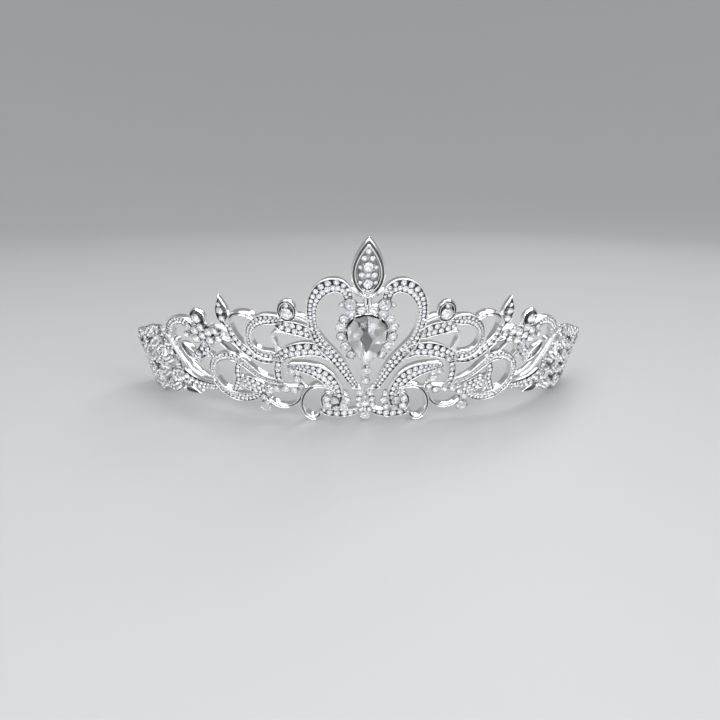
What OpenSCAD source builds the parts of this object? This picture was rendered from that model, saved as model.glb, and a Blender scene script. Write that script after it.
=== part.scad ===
// Rhinestone tiara: a cast scroll-work band with a heart centre, a pear crystal, a pointed finial,
// two mirrored wings and a pin loop on each end.
//
// Everything is drawn on the band itself. A place is [s, h]: s is the distance in millimetres along
// the band's base curve from the centre, h the distance up its leaning face, and n the distance
// proud of that face. on_band() bends this flat drawing round the head.

/* [Band] */
// Half of the oval's width, where the band is widest
plan_half_width = 78; // [72:0.5:84]
// Distance from the front of the oval back to its widest place
plan_depth = 52; // [46:0.5:58]
// Outward lean of the band's face, degrees
flare = 12.6; // [8:0.2:16]
// Distance from the origin forward to the foot of the band
origin_setback = 14.25; // [13:0.05:16]
// Length of the band from the centre to each end
wing_length = 88; // [87:0.5:90]

/* [Metal] */
// Thickness of the flat castings
cast_t = 1.9; // [1.6:0.1:2.2]
// How far raised ribbons stand proud of the flat castings
relief = 0.6; // [0.4:0.1:0.9]
// Thickness of the bent wires
wire_t = 1.3; // [1.1:0.1:1.5]
// Bore radius of the hair-pin loops
pin_bore_r = 1.3; // [1:0.1:1.5]
// Outer radius of the hair-pin loops
pin_loop_r = 2.5; // [2.4:0.1:2.8]
// Thickness of the hair-pin loops
pin_loop_t = 1.6; // [1.4:0.1:1.8]

/* [Crystals] */
// Height of the pear crystal, tip to crown
pear_h = 16; // [15:0.2:17]
// Width of the pear crystal
pear_w = 10.8; // [10:0.2:11.6]
// Radius of the stones round the pear crystal
halo_r = 1.3; // [1.1:0.05:1.4]
// Number of stones round the pear crystal
halo_count = 14; // [12:2:14]
// Height of the finial above its foot
finial_h = 17.6; // [16:0.2:18.4]
// Width of the finial
finial_w = 8.6; // [7.4:0.2:9]

/* [Smoothness] */
// Rings along each stretch of a ribbon
rings = 3; // [2:1:4]

/* [Hidden] */

silver = [0.80, 0.80, 0.82];
polished = [0.90, 0.90, 0.92];
crystal = [0.86, 0.91, 0.96];

back = -cast_t / 2;        // rear face of the castings
face = cast_t / 2;         // front face of the flat castings
proud = face + relief;     // front of the raised ribbons
bead = proud + 0.5;        // front of the bold scrolls
shoulder = 0.6;            // how far up a ribbon's thickness its crown begins
foot_drop = (back + (bead - back) * shoulder) * sin(flare); // lifts the lowest scroll edge to z = 0
// rear face of a ribbon that crosses others in its own casting: each layer starts a little further in
function layer(i) = back + 0.17 * i;

// ---- the band ------------------------------------------------------------------------------

// length of base curve per degree of the oval's parameter
function reach(t) = norm([plan_half_width * cos(t), plan_depth * sin(t)]) * PI / 180;
ARC = [for (t = 0, s = 0; t <= 110; s = s + reach(t + 0.5), t = t + 1) [s, t]];
// parameter of the oval at a distance s along the base curve
function turn(s) = sign(s) * lookup(abs(s), ARC);
// compass direction that the band faces at s: 0 is straight forward
function facing(s) = atan2(sin(turn(s)) / plan_half_width, cos(turn(s)) / plan_depth);
function on_band(s, h, n = 0) =
    let (t = turn(s), a = facing(s), out = h * sin(flare) + n * cos(flare))
    [plan_half_width * sin(t) + out * sin(a),
     plan_depth * (1 - cos(t)) - out * cos(a) - origin_setback,
     h * cos(flare) - n * sin(flare) + foot_drop];

// puts children at a place on the band, their Z pointing straight out of its face
module at(s, h, n = 0)
    translate(on_band(s, h, n)) rotate([90 + flare, 0, facing(s)]) children();

// ---- ribbons, wires and leaves -------------------------------------------------------------

// smooth curve through points, as a value at u (0 to 1) of the stretch from p[i] to p[i + 1]
function before(p, i) = i > 0 ? p[i - 1] : 2 * p[0] - p[1];
function after(p, i) = i + 2 < len(p) ? p[i + 2] : 2 * p[len(p) - 1] - p[len(p) - 2];
function blend(a, b, c, d, u) =
    b + u * (c - a) / 2 + u * u * (2 * a - 5 * b + 4 * c - d) / 2
    + u * u * u * (3 * b - a - 3 * c + d) / 2;
function curve(p, m = rings) = [
    for (i = [0 : len(p) - 2], k = [0 : m - 1]) blend(before(p, i), p[i], p[i + 1], after(p, i), k / m),
    p[len(p) - 1]
];
function heading(c, i) =
    let (a = c[max(i - 1, 0)], b = c[min(i + 1, len(c) - 1)], d = [b[0] - a[0], b[1] - a[1]])
    d / norm(d);

// skin over rings of m points each, closed at both ends
function skin_faces(count, m) = [
    [for (j = [m - 1 : -1 : 0]) j],
    for (i = [0 : count - 2], j = [0 : m - 1])
        let (k = (j + 1) % m)
        each [[i * m + j, i * m + k, (i + 1) * m + j], [i * m + k, (i + 1) * m + k, (i + 1) * m + j]],
    [for (j = [0 : m - 1]) (count - 1) * m + j]
];

// ribbon along [s, h, width] points, flat behind and crowned in front
module ribbon(p, rear = back, front = face) {
    c = curve(p);
    side = rear + (front - rear) * shoulder;
    // place across the width (-1 to 1), and how proud
    section = [[-1, rear], [1, rear], [1, side], [0, front], [-1, side]];
    points = [
        for (i = [0 : len(c) - 1])
            let (u = heading(c, i), w = c[i][2] / 2)
            for (q = section) on_band(c[i][0] + u[1] * w * q[0], c[i][1] - u[0] * w * q[0], q[1])
    ];
    polyhedron(points, skin_faces(len(c), len(section)));
}

// round wire along [s, h, n] points
module wire(p, thick) {
    sides = 8;
    c = curve(p);
    points = [
        for (i = [0 : len(c) - 1])
            let (u = heading(c, i))
            for (j = [0 : sides - 1])
                let (a = j * 360 / sides, x = cos(a) * thick / 2)
                on_band(c[i][0] + u[1] * x, c[i][1] - u[0] * x, c[i][2] + sin(a) * thick / 2)
    ];
    polyhedron(points, skin_faces(len(c), sides));
}

// outline of a leaf from its foot to its tip and back; full is where it is widest (0 foot, 1 tip)
function leaf_outline(foot, tip, width, full) =
    let (v = tip - foot, l = norm(v), u = v / l, e = ln(0.5) / ln(full), m = 10)
    [for (i = [0 : 2 * m - 1])
        let (x = i <= m ? i / m : 2 - i / m, side = i <= m ? 1 : -1,
             y = side * width / 2 * sin(180 * pow(x, e)))
        foot + u * l * x + [u[1], -u[0]] * y];

// plate with a closed outline, its middle raised like a cushion
module dome(outline, middle, rear = back, front = face, crown = relief) {
    m = len(outline);
    points = concat(
        [for (q = outline) on_band(q[0], q[1], rear)],
        [for (q = outline) on_band(q[0], q[1], front)],
        [on_band(middle[0], middle[1], rear), on_band(middle[0], middle[1], front + crown)]);
    faces = [for (i = [0 : m - 1])
        let (k = (i + 1) % m)
        each [[k, i, m + i], [k, m + i, m + k], [2 * m, i, k], [m + i, 2 * m + 1, m + k]]];
    polyhedron(points, faces);
}

module leaf(foot, tip, width, full = 0.42, rear = back, front = face)
    dome(leaf_outline(foot, tip, width, full), foot * 0.55 + tip * 0.45, rear, front);

// ---- stones and their seats ----------------------------------------------------------------

// round cut stone, its girdle at z = 0 and its table up
module stone(r)
    rotate_extrude($fn = 24)
        polygon([[0, -0.5 * r], [0.55 * r, -0.5 * r], [r, -0.1 * r], [r, 0.1 * r],
                 [0.62 * r, 0.45 * r], [0, 0.45 * r]]);

// stones at [s, h, r] places, their girdles at n
module stones(list, n)
    for (q = list) at(q[0], q[1], n) stone(q[2]);

module cup(r, rear, front, wall = 0.35)
    translate([0, 0, rear]) cylinder(h = front - rear, r = r + wall, $fn = 24);

// ---- pear crystal and its setting ----------------------------------------------------------

pear_middle = 28.5;
// point of the pear's outline, grown outwards by g; the tip is at 0 degrees and the crown at 180
function pear(a, g = 0) = [
    (pear_w + 2 * g) / 1.54 * sin(a) * sin(a / 2),
    pear_middle - (pear_h / 2 + g) * cos(a)
];
function pear_outline(g, m) = [for (i = [0 : m - 1]) pear(360 * i / m, g)];
halo_gap = 1.75;
halo_first = 62;
function halo_angle(i) = halo_first + (360 - 2 * halo_first) * i / (halo_count - 1);
halo = [for (i = [0 : halo_count - 1]) let (q = pear(halo_angle(i), halo_gap)) [q[0], q[1], halo_r]];

module pear_setting()
    color(silver) dome(pear_outline(1.2, 40), [0, pear_middle], back, face, 0);

// faceted pear: girdle, crown and table, with the pavilion sunk in the setting
module pear_crystal() {
    m = 32;
    sunk = face - 0.3;
    girdle = face + 0.9;
    table = girdle + 2.2;
    levels = [[-2.6, table], [-1.5, table - 0.6], [0, girdle + 0.4], [0, girdle], [-0.9, sunk]];
    points = [for (v = levels, q = pear_outline(v[0], m)) on_band(q[0], q[1], v[1])];
    color(crystal) polyhedron(points, skin_faces(len(levels), m));
}

claw_angles = [0, 75, 128, 232, 285];
module pear_claws()
    color(polished)
        for (a = claw_angles)
            let (q = pear(a, 0.35)) at(q[0], q[1], back)
                cylinder(h = face - back + 1.9, r = 0.55, $fn = 20);

module halo_cups()
    color(silver)
        for (q = halo) at(q[0], q[1]) cup(halo_r - 0.35, back + 0.1, face + 0.7);

module halo_stones() color(crystal) stones(halo, face + 1.0);

// ---- finial --------------------------------------------------------------------------------

finial_foot = 41.2;
finial_tip = finial_foot + finial_h;
module finial_rim()
    color(polished)
        difference() {
            leaf([0, finial_foot], [0, finial_tip], finial_w, 0.42, back, face + 0.5);
            leaf([0, finial_foot + 1.1], [0, finial_tip - 1.7], finial_w - 1.7, 0.42, back - 1, bead + 1);
        }

module finial_bed()
    color(silver)
        leaf([0, finial_foot + 0.5], [0, finial_tip - 1.1], finial_w - 1.1, 0.42, back + 0.2, 0.2);

finial_list = [[0, 51.4, 1.6], [0, 47.6, 1.3], [0, 44.9, 0.9], [-1.35, 54, 0.6], [1.35, 54, 0.6], [0, 55.1, 0.6]];
module finial_stones() color(crystal) stones(finial_list, 1.0);

module finial_bridge()
    color(silver) {
        ribbon([[0, 36.8, 2.6], [0, 39.6, 2.6], [0, 43.4, 2.4]], back, face + 0.3);
        ribbon([[-5, 39.4, 1.9], [0, 38.9, 1.9], [5, 39.4, 1.9]], layer(1), face);
        ribbon([[-5.6, 43.2, 1.2], [-3.4, 43.9, 1.2], [0, 42.6, 1.3], [3.4, 43.9, 1.2], [5.6, 43.2, 1.2]],
               layer(2), face - 0.2);
    }

// ---- keel below the heart ------------------------------------------------------------------

module keel_frame()
    color(silver) {
        ribbon([[-2.4, 13, 2.2], [-2.1, 9.6, 2.3], [-2, 7.2, 2.2], [-1.3, 5.4, 2.2], [0, 4.7, 2.2],
                [1.3, 5.4, 2.2], [2, 7.2, 2.2], [2.1, 9.6, 2.3], [2.4, 13, 2.2]], back, proud);
        ribbon([[0, 5.2, 2.4], [0, 2.6, 3], [0, 0.9, 1.8]], layer(1), proud - 0.15);
        ribbon([[0, 10.6, 2.6], [0, 13.2, 2.6], [0, 16.8, 2.6], [0, 21.4, 2.4]], layer(2), face);
    }

keel_list = [[0, 2.6, 1.3], [0, 18.5, 1.4], [0, 14.6, 1.0],
    for (x = [-1, 1]) each [[x * 1.9, 11.6, 0.95], [x * 2.1, 9.2, 0.9], [x * 1.8, 6.6, 0.85]]];
module keel_stones() color(crystal) stones(keel_list, proud + 0.2);

// ---- heart ---------------------------------------------------------------------------------

heart_path = [
    [4.4, 38.4, 2.4], [4.7, 41, 2.8], [5.4, 43.6, 3.3], [7.6, 45.3, 4], [10.2, 45, 4.3], [12.5, 43.2, 4],
    [14, 40.4, 3.4], [14.6, 37.2, 3], [14.5, 33.8, 2.9], [13.9, 30.6, 3], [12.5, 27.5, 3.1], [10.4, 24.6, 3.2],
    [8.1, 21.7, 3], [6.1, 18.4, 2.7], [4.3, 15, 2.5], [2.8, 12.2, 2.4]
];
module heart_lobe() color(silver) ribbon(heart_path, back, bead);
module lobe_stones() color(crystal) stones([[4.7, 40, 1.5], [7.2, 40, 0.6]], bead);

// ---- lower scrolls and hanging loops -------------------------------------------------------

module foot_scroll()
    color(silver)
        ribbon([[1.4, 4.6, 1], [3.4, 3.6, 1.6], [6.4, 3, 2.2], [9, 3, 2.4], [11.6, 3.2, 2.2], [13.4, 4.2, 1.4]],
               back, proud);

module lower_scroll()
    color(polished) {
        ribbon([[22.4, 19.4, 2.2], [19.4, 19.2, 3.2], [16.3, 18.7, 4.2], [13.4, 17.6, 4.8], [11, 15.8, 4.9],
                [9.3, 13.4, 4.5], [8.3, 10.8, 4.2], [8.2, 8.2, 4], [8.8, 5.6, 3.4], [9.4, 3.4, 2.6]], back, bead);
        ribbon([[8.6, 9.4, 1.2], [9.8, 10.6, 1.3], [11.6, 10.2, 1.3], [12.9, 8.4, 1.3], [12.9, 6.2, 1.3],
                [11.8, 4, 1.3]], layer(1), proud);
    }

scroll_list = [[5.9, 2.6, 0.9], [8.9, 2.3, 0.95], [11.2, 3.1, 0.95], [6.6, 10.6, 1.0], [6.6, 7.8, 1.15],
    [8.4, 5.2, 1.1], [10.9, 7.5, 1.4]];
module scroll_stones() color(crystal) stones(scroll_list, proud + 0.1);

module hanging_loop()
    color(polished)
        ribbon([[9.6, 12.2, 1.2], [13.2, 12.9, 1.4], [15.8, 12.2, 1.5], [17.8, 10, 1.5], [18.9, 7, 1.5],
                [18.8, 4, 1.7], [17.6, 1.8, 1.9], [15.9, 0.95, 1.9], [14.3, 1.7, 1.7], [13.6, 3.4, 1.2]],
               back, bead);

// ---- wings, inner part ---------------------------------------------------------------------

module wing_ribbon()
    color(silver)
        ribbon([[10.2, 22.8, 3.2], [13.2, 24.8, 4.2], [16.8, 25.1, 4.8], [20.4, 24.3, 4.6], [23.6, 22.8, 3.9],
                [26.2, 21.4, 3]], back, proud);

module shoulder_ribbon()
    color(silver) {
        ribbon([[14.2, 29.4, 3], [17.6, 31.2, 4.2], [21, 32, 4.3], [24.6, 33.2, 3.6]], back, proud);
        ribbon([[15, 33.8, 1.3], [17.2, 35.2, 1.8], [19.4, 36, 1.6]], back, proud);
        ribbon([[21.2, 31.4, 2.2], [21.2, 34.4, 2.4]], layer(1), face);
    }

module volute()
    color(silver) {
        ribbon([[22.8, 34.4, 2.4], [25.4, 34.4, 3.4], [28.4, 34.1, 3.6], [31, 32.6, 3.3], [32.7, 30, 2.7],
                [33.1, 27.2, 2.5], [32.3, 24.8, 2.7], [30.3, 23, 3.2], [27.6, 22.4, 3.6], [25.2, 22.9, 3]],
               back, bead);
        ribbon([[24.9, 23.6, 1.8], [25.5, 26.8, 1.4], [26, 28.8, 1.2], [25.2, 30.3, 1.1], [23.4, 30.4, 1.1],
                [22, 30, 1.1]], layer(1), proud);
    }

module drop_setting()
    color(polished)
        dome([for (a = [0 : 24 : 336]) [21 + 2.7 * cos(a), 37.4 + 3.5 * sin(a)]], [21, 37.4], back, proud, 0.3);

crest_list = [[21, 38.9, 1.4], [21.2, 36.1, 1.6], [39.9, 36.4, 0.95], [39.7, 33.9, 0.95]];
module crest_stones() color(crystal) stones(crest_list, bead);

module hook_wire()
    color(polished) {
        ribbon([[30.4, 34.3, 1.4], [32.2, 35.4, 1.8], [34.3, 35.8, 1.6], [36.6, 35.1, 1.6], [38, 33.2, 1.5],
                [38.3, 30.6, 1.7], [37.6, 28, 1.9], [36.2, 25.6, 2.1], [34.2, 23.5, 2], [31.6, 21.6, 1.8],
                [28.8, 20.6, 1.5], [26.2, 20.8, 1.3]], back, bead);
        ribbon([[38.4, 28.8, 2], [39.2, 30.4, 2.2], [39.6, 32.6, 2.4]], layer(1), face);
    }

module flame_leaf() color(polished) leaf([39.6, 30.6], [39.9, 40.9], 4.3, 0.42, back, proud);

// ---- wings, lower part ---------------------------------------------------------------------

module s_ribbon()
    color(silver) {
        ribbon([[24.2, 13, 1.8], [27, 13.5, 1.9], [30, 14.3, 2], [32.7, 16, 2.2], [35.2, 18.4, 2.5],
                [38, 20.4, 2.9], [41.2, 20.8, 3], [44.2, 19.7, 2.9], [46.4, 17.3, 2.6], [47.2, 14.4, 2.4],
                [46.6, 11.2, 2.4], [44.6, 8.4, 2.6], [41.6, 6.8, 3], [38.2, 6.4, 3.2], [34.8, 7, 3],
                [32, 8.6, 2.6]], back, proud);
        ribbon([[37.2, 19.4, 2.2], [38.4, 15.8, 2.4], [38.4, 13, 2.4], [39.6, 10.4, 2.2], [41, 7.4, 2]],
               layer(1), proud - 0.15);
        ribbon([[29.6, 9.2, 4], [32.4, 10.6, 5], [35.6, 12, 5], [38.2, 13, 3]], layer(2), face);
    }

module branch()
    color(silver) {
        ribbon([[24.6, 21.8, 2.4], [25.3, 18.6, 2.6], [25.5, 15.6, 2.6], [25, 11.6, 2.4]], back, proud);
        ribbon([[17.2, 11.4, 1.8], [20.2, 11.2, 2.4], [23.2, 11, 2.4], [26.4, 11, 2.4], [29.2, 9.4, 2.6],
                [31, 6.8, 2.8], [30.4, 3.2, 3]], layer(1), proud - 0.15);
        ribbon([[22.6, 19.4, 2.2], [20.8, 17, 2.4], [19.8, 14.6, 2.4], [18.6, 12, 2]], layer(2), proud - 0.3);
    }

branch_list = [[19.9, 15, 1.2], [21.4, 17.6, 1.1], [18.8, 12.2, 0.95], [21, 10.9, 1.1], [23.7, 11.1, 1.1],
    [26.6, 11.1, 1.1], [29.2, 9, 1.1], [30.6, 4.2, 1.8], [23.6, 21.4, 0.9], [25.2, 18.2, 0.9]];
module branch_stones() color(crystal) stones(branch_list, proud + 0.1);

module smile_loop()
    color(polished)
        ribbon([[18.6, 9.6, 1.3], [20.4, 6.4, 1.5], [22.8, 4.8, 1.6], [25.6, 4.4, 1.6], [27.8, 5.2, 1.5],
                [29.4, 6.8, 1.3]], back, proud);

// ---- wings, outer part ---------------------------------------------------------------------

module flower_plate()
    color(silver) {
        ribbon([[38.2, 27.4, 3], [41.4, 27.6, 5.4], [44.6, 27.4, 7], [48.2, 27, 7], [51.2, 27.2, 6],
                [53.6, 29.6, 4]], back, face);
        ribbon([[46.6, 25, 4.4], [48.8, 21.6, 4], [51.4, 19.6, 3.6], [53, 17.4, 2]], layer(1), proud);
        ribbon([[48, 21.4, 2], [46.4, 19.4, 2], [45.6, 17.8, 2]], layer(2), face);
        leaf([36, 22.2], [43.4, 27.2], 3.6, 0.42, layer(3), proud);
        leaf([47.7, 29], [48.6, 36], 5.4, 0.6, layer(4), proud);
        leaf([57.4, 23.4], [51.2, 16.6], 3.6, 0.42, layer(5), proud - 0.2);
    }

flower_ring = 2.4;
flower_list = [[47.8, 27.2, 1.3], [48.4, 32.8, 1.4],
    for (i = [0 : 5]) [47.8 + flower_ring * cos(60 * i + 30), 27.2 + flower_ring * sin(60 * i + 30), 1.0],
    [43.4, 28.4, 0.95], [42.6, 26.2, 0.95], [40.4, 28.6, 0.95], [52.2, 29, 0.95], [53.4, 26.6, 0.9],
    [50.6, 20.8, 0.9]];
module flower_stones() color(crystal) stones(flower_list, proud + 0.2);

module arch_scroll()
    color(polished)
        ribbon([[50.6, 29.8, 2.4], [53.8, 31, 3], [56.8, 30.9, 3], [59.6, 29.2, 2.8], [61.3, 26.6, 2.5],
                [61.3, 23.6, 2.2], [60, 20.4, 2.1], [58.2, 17.4, 2.2], [56, 14.8, 2.2], [53, 12.7, 2],
                [49.8, 11.7, 1.8], [46.4, 11.6, 1.6]], back, bead);

// ---- ends ----------------------------------------------------------------------------------

end_top = 20;
// five bands that fan out of the arch scroll and come together on the end post
function end_band(i) =
    let (u = i / 4, start = 26.6 - 19.6 * u, finish = end_top - 1 - (end_top - 3) * u, run = wing_length - 60)
    [for (k = [0 : 4])
        let (v = k / 4)
        [60 + run * v, start * (1 - v) + finish * v + 1.6 * sin(180 * v) * (0.4 - u), 2.9 - 0.3 * v]];

module end_panel()
    color(silver) {
        for (i = [0 : 4]) ribbon(end_band(i), back, i % 2 == 0 ? proud : face + 0.3);
        ribbon([[wing_length, 0.125, 2.6], [wing_length + 0.6, 7, 2.8], [wing_length + 0.4, 14, 2.8],
                [wing_length - 0.2, end_top, 2.6]], layer(1), proud - 0.15);
        for (x = [64, 70, 76, 82])
            let (v = (x - 60) / (wing_length - 60))
            ribbon([[x - 2, 5.6 - 2.6 * v, 2.4], [x, 13, 2.8], [x - 1, 24 - 6.4 * v, 2.4]], layer(2), face);
        ribbon([[46, 8.6, 2.6], [50, 8.4, 3.2], [54, 8.4, 4], [58, 9.4, 5], [62, 12, 5]], layer(3), face - 0.1);
        leaf([63.4, 6.6], [54, 5], 3.2, 0.42, layer(4), proud - 0.3);
        ribbon([[59.6, 24, 2], [61, 17, 3], [62, 9, 3]], layer(5), face - 0.2);
    }

end_list = [for (i = [0 : 2 : 4], k = [0 : 5])
    let (c = curve(end_band(i), 2)) [c[k + 1][0], c[k + 1][1], 1.0]];
module end_stones() color(crystal) stones(end_list, proud + 0.1);

// stiffening wire soldered behind the lower edge
rail_n = back - wire_t * 0.35;
module side_rail()
    color(polished)
        wire([[31, 6.4, rail_n], [38, 6.4, rail_n], [46, 8.4, rail_n], [54, 7.6, rail_n], [62, 6.4, rail_n],
              [72, 4.4, rail_n], [82, 3, rail_n], [wing_length, 2.6, rail_n]], wire_t);

pin_loop_s = wing_length + 3.9;
pin_loop_h = 11;
module pin_loop()
    color(polished)
        at(pin_loop_s, pin_loop_h)
            translate([0, 0, -pin_loop_t / 2])
                difference() {
                    cylinder(h = pin_loop_t, r = pin_loop_r, $fn = 40);
                    translate([0, 0, -1]) cylinder(h = pin_loop_t + 2, r = pin_bore_r, $fn = 40);
                }

// ---- the tiara -----------------------------------------------------------------------------

module left() mirror([1, 0, 0]) children();

finial_rim();
finial_bed();
finial_stones();
finial_bridge();
pear_setting();
pear_crystal();
pear_claws();
halo_cups();
halo_stones();
keel_frame();
keel_stones();
heart_lobe();  // heart_lobe_right
left() heart_lobe();  // heart_lobe_left
lobe_stones();  // lobe_stones_right
left() lobe_stones();  // lobe_stones_left
foot_scroll();  // foot_scroll_right
left() foot_scroll();  // foot_scroll_left
lower_scroll();  // lower_scroll_right
left() lower_scroll();  // lower_scroll_left
scroll_stones();  // scroll_stones_right
left() scroll_stones();  // scroll_stones_left
hanging_loop();  // hanging_loop_right
left() hanging_loop();  // hanging_loop_left
wing_ribbon();  // wing_ribbon_right
left() wing_ribbon();  // wing_ribbon_left
shoulder_ribbon();  // shoulder_ribbon_right
left() shoulder_ribbon();  // shoulder_ribbon_left
volute();  // volute_right
left() volute();  // volute_left
drop_setting();  // drop_setting_right
left() drop_setting();  // drop_setting_left
crest_stones();  // crest_stones_right
left() crest_stones();  // crest_stones_left
hook_wire();  // hook_wire_right
left() hook_wire();  // hook_wire_left
flame_leaf();  // flame_leaf_right
left() flame_leaf();  // flame_leaf_left
s_ribbon();  // s_ribbon_right
left() s_ribbon();  // s_ribbon_left
branch();  // branch_right
left() branch();  // branch_left
branch_stones();  // branch_stones_right
left() branch_stones();  // branch_stones_left
smile_loop();  // smile_loop_right
left() smile_loop();  // smile_loop_left
flower_plate();  // flower_plate_right
left() flower_plate();  // flower_plate_left
flower_stones();  // flower_stones_right
left() flower_stones();  // flower_stones_left
arch_scroll();  // arch_scroll_right
left() arch_scroll();  // arch_scroll_left
end_panel();  // end_panel_right
left() end_panel();  // end_panel_left
end_stones();  // end_stones_right
left() end_stones();  // end_stones_left
side_rail();  // side_rail_right
left() side_rail();  // side_rail_left
pin_loop();  // pin_loop_right
left() pin_loop();  // pin_loop_left
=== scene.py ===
"""Looks of a rhinestone tiara: silver-plated castings, bent wires and foil-backed stones.

Every shape is drawn flat on the band, in millimetres: s along the foot of the band from its
centre, h up its leaning face and n proud of it. Band.place() bends the flat drawing round the
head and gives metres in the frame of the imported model.
"""

import sys
import logging
import math
from dataclasses import dataclass, field
from enum import Enum

import bpy
import numpy as np
from mathutils import Matrix, Vector


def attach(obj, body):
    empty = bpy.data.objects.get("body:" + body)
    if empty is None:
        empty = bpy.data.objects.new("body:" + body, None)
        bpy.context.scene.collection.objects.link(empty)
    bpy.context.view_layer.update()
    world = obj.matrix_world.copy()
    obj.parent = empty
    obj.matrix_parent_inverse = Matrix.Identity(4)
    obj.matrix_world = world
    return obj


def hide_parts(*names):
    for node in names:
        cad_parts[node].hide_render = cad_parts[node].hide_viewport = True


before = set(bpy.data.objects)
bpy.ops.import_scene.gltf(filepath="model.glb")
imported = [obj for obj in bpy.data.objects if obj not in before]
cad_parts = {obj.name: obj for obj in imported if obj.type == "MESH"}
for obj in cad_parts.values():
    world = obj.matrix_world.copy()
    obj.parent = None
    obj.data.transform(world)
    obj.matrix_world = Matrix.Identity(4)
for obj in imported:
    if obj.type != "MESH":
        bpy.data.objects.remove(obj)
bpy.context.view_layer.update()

LOG = logging.getLogger("tiara")
MM = 0.001
Path = list[tuple[float, float, float]]
Places = list[tuple[float, float, float]]
Template = tuple[np.ndarray, np.ndarray, np.ndarray]
Colour = tuple[float, float, float]


class Side(Enum):
    """Half of the tiara; its value turns s to that side."""

    RIGHT = 1
    LEFT = -1

    @property
    def tag(self) -> str:
        """Ending of the names of this side's nodes."""
        return "right" if self is Side.RIGHT else "left"


class Finish(Enum):
    """Material slots of the record."""

    CAST = "cast_silver"
    POLISHED = "polished_silver"
    CRYSTAL = "crystal"


# ---- the band ------------------------------------------------------------------------------


@dataclass
class Band:
    """The leaning oval band that everything is drawn on.

    The oval is x = A sin t, y = B (1 - cos t). Its arc length is summed in small steps of t, and
    places between the steps are interpolated, so s is a true length along the foot.
    """

    half_width: float = 78.0
    depth: float = 52.0
    flare: float = math.radians(12.6)
    setback: float = 14.25
    cast: float = 1.9
    relief: float = 0.6
    arc: np.ndarray = field(init=False)
    turn: np.ndarray = field(init=False)

    def __post_init__(self) -> None:
        """Sums the arc length."""
        self.turn = np.linspace(0.0, math.radians(110), 4001)
        speed = np.hypot(self.half_width * np.cos(self.turn), self.depth * np.sin(self.turn))
        steps = (speed[1:] + speed[:-1]) / 2 * np.diff(self.turn)
        self.arc = np.concatenate([[0.0], np.cumsum(steps)])

    @property
    def back(self) -> float:
        """Rear face of the castings."""
        return -self.cast / 2

    @property
    def face(self) -> float:
        """Front face of the flat castings."""
        return self.cast / 2

    @property
    def proud(self) -> float:
        """Front of the raised ribbons."""
        return self.face + self.relief

    @property
    def bead(self) -> float:
        """Front of the boldest scrolls."""
        return self.proud + 0.5

    @property
    def lift(self) -> float:
        """Height that brings the lowest scroll's edge to the table."""
        return (self.back + (self.bead - self.back) * 0.6) * math.sin(self.flare)

    def facing(self, s: np.ndarray) -> tuple[np.ndarray, np.ndarray]:
        """Parameter of the oval and compass direction of the face at s.

        Args:
            s: Lengths along the foot, in millimetres.

        Returns:
            The oval's parameter t and the direction phi, 0 straight forward, in radians.
        """
        t = np.sign(s) * np.interp(np.abs(s), self.arc, self.turn)
        return t, np.arctan2(np.sin(t) / self.half_width, np.cos(t) / self.depth)

    def place(self, s: np.ndarray, h: np.ndarray, n: np.ndarray) -> np.ndarray:
        """Bends flat places round the head.

        Args:
            s: Lengths along the foot.
            h: Heights up the face.
            n: Distances proud of the face.

        Returns:
            Points in metres, with a last axis of three.
        """
        t, phi = self.facing(np.asarray(s, float))
        out = h * math.sin(self.flare) + n * math.cos(self.flare)
        x = self.half_width * np.sin(t) + out * np.sin(phi)
        y = self.depth * (1 - np.cos(t)) - out * np.cos(phi) - self.setback
        z = h * math.cos(self.flare) - n * math.sin(self.flare) + self.lift
        return np.stack(np.broadcast_arrays(x, y, z), axis=-1) * MM

    def axes(self, s: np.ndarray) -> np.ndarray:
        """Directions along, up and out of the face at s.

        Args:
            s: Lengths along the foot, one for each place.

        Returns:
            An array of one 3 by 3 block a place, whose rows are the three unit directions.
        """
        _, phi = self.facing(np.asarray(s, float))
        sin_f, cos_f = math.sin(self.flare), math.cos(self.flare)
        zero = np.zeros_like(phi)
        along = np.stack([np.cos(phi), np.sin(phi), zero], -1)
        up = np.stack([sin_f * np.sin(phi), -sin_f * np.cos(phi), zero + cos_f], -1)
        out = np.stack([cos_f * np.sin(phi), -cos_f * np.cos(phi), zero - sin_f], -1)
        return np.stack([along, up, out], axis=1)


BAND = Band()


# ---- meshes --------------------------------------------------------------------------------


def circle(count: int) -> np.ndarray:
    """Even angles round a full turn, in radians."""
    return np.arange(count) * 2 * math.pi / count


def skin(rings: int, points: int, closed: bool = False) -> np.ndarray:
    """Quads between neighbouring rings of points.

    Args:
        rings: Number of rings.
        points: Points of each ring.
        closed: Whether the last ring joins the first.

    Returns:
        Four point numbers a quad, where point j of ring i is number i * points + j.
    """
    i, j = np.meshgrid(np.arange(rings - (not closed)), np.arange(points), indexing="ij")
    i, j, after, beside = i * points, j, (i + 1) % rings * points, (j + 1) % points
    return np.stack([i + j, i + beside, after + beside, after + j], -1).reshape(-1, 4)


@dataclass
class Solid:
    """A closed mesh as arrays.

    Attributes:
        verts: Points in metres.
        faces: Four corners a face; a triangle has -1 as its fourth.
        paint: Material of each face, as an index.
        tone: A value from 0 to 1 at each point, for the material to read; on the metal it paints shade into
            hollows, and on set copies it is random.
    """

    verts: np.ndarray
    faces: np.ndarray
    paint: np.ndarray
    tone: np.ndarray

    def outward(self) -> "Solid":
        """Turns the faces round if the enclosed volume comes out negative."""
        a, b, c = (self.verts[self.faces[:, i]] for i in range(3))
        d = self.verts[np.where(self.faces[:, 3] < 0, self.faces[:, 2], self.faces[:, 3])]
        volume = np.einsum("ij,ij->i", a, np.cross(b, c) + np.cross(c, d)).sum()
        if volume < 0:
            quad = self.faces[:, 3] >= 0
            turned = self.faces[:, [2, 1, 0, 3]].copy()
            turned[quad] = self.faces[quad][:, ::-1]
            self.faces = turned
        return self


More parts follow.
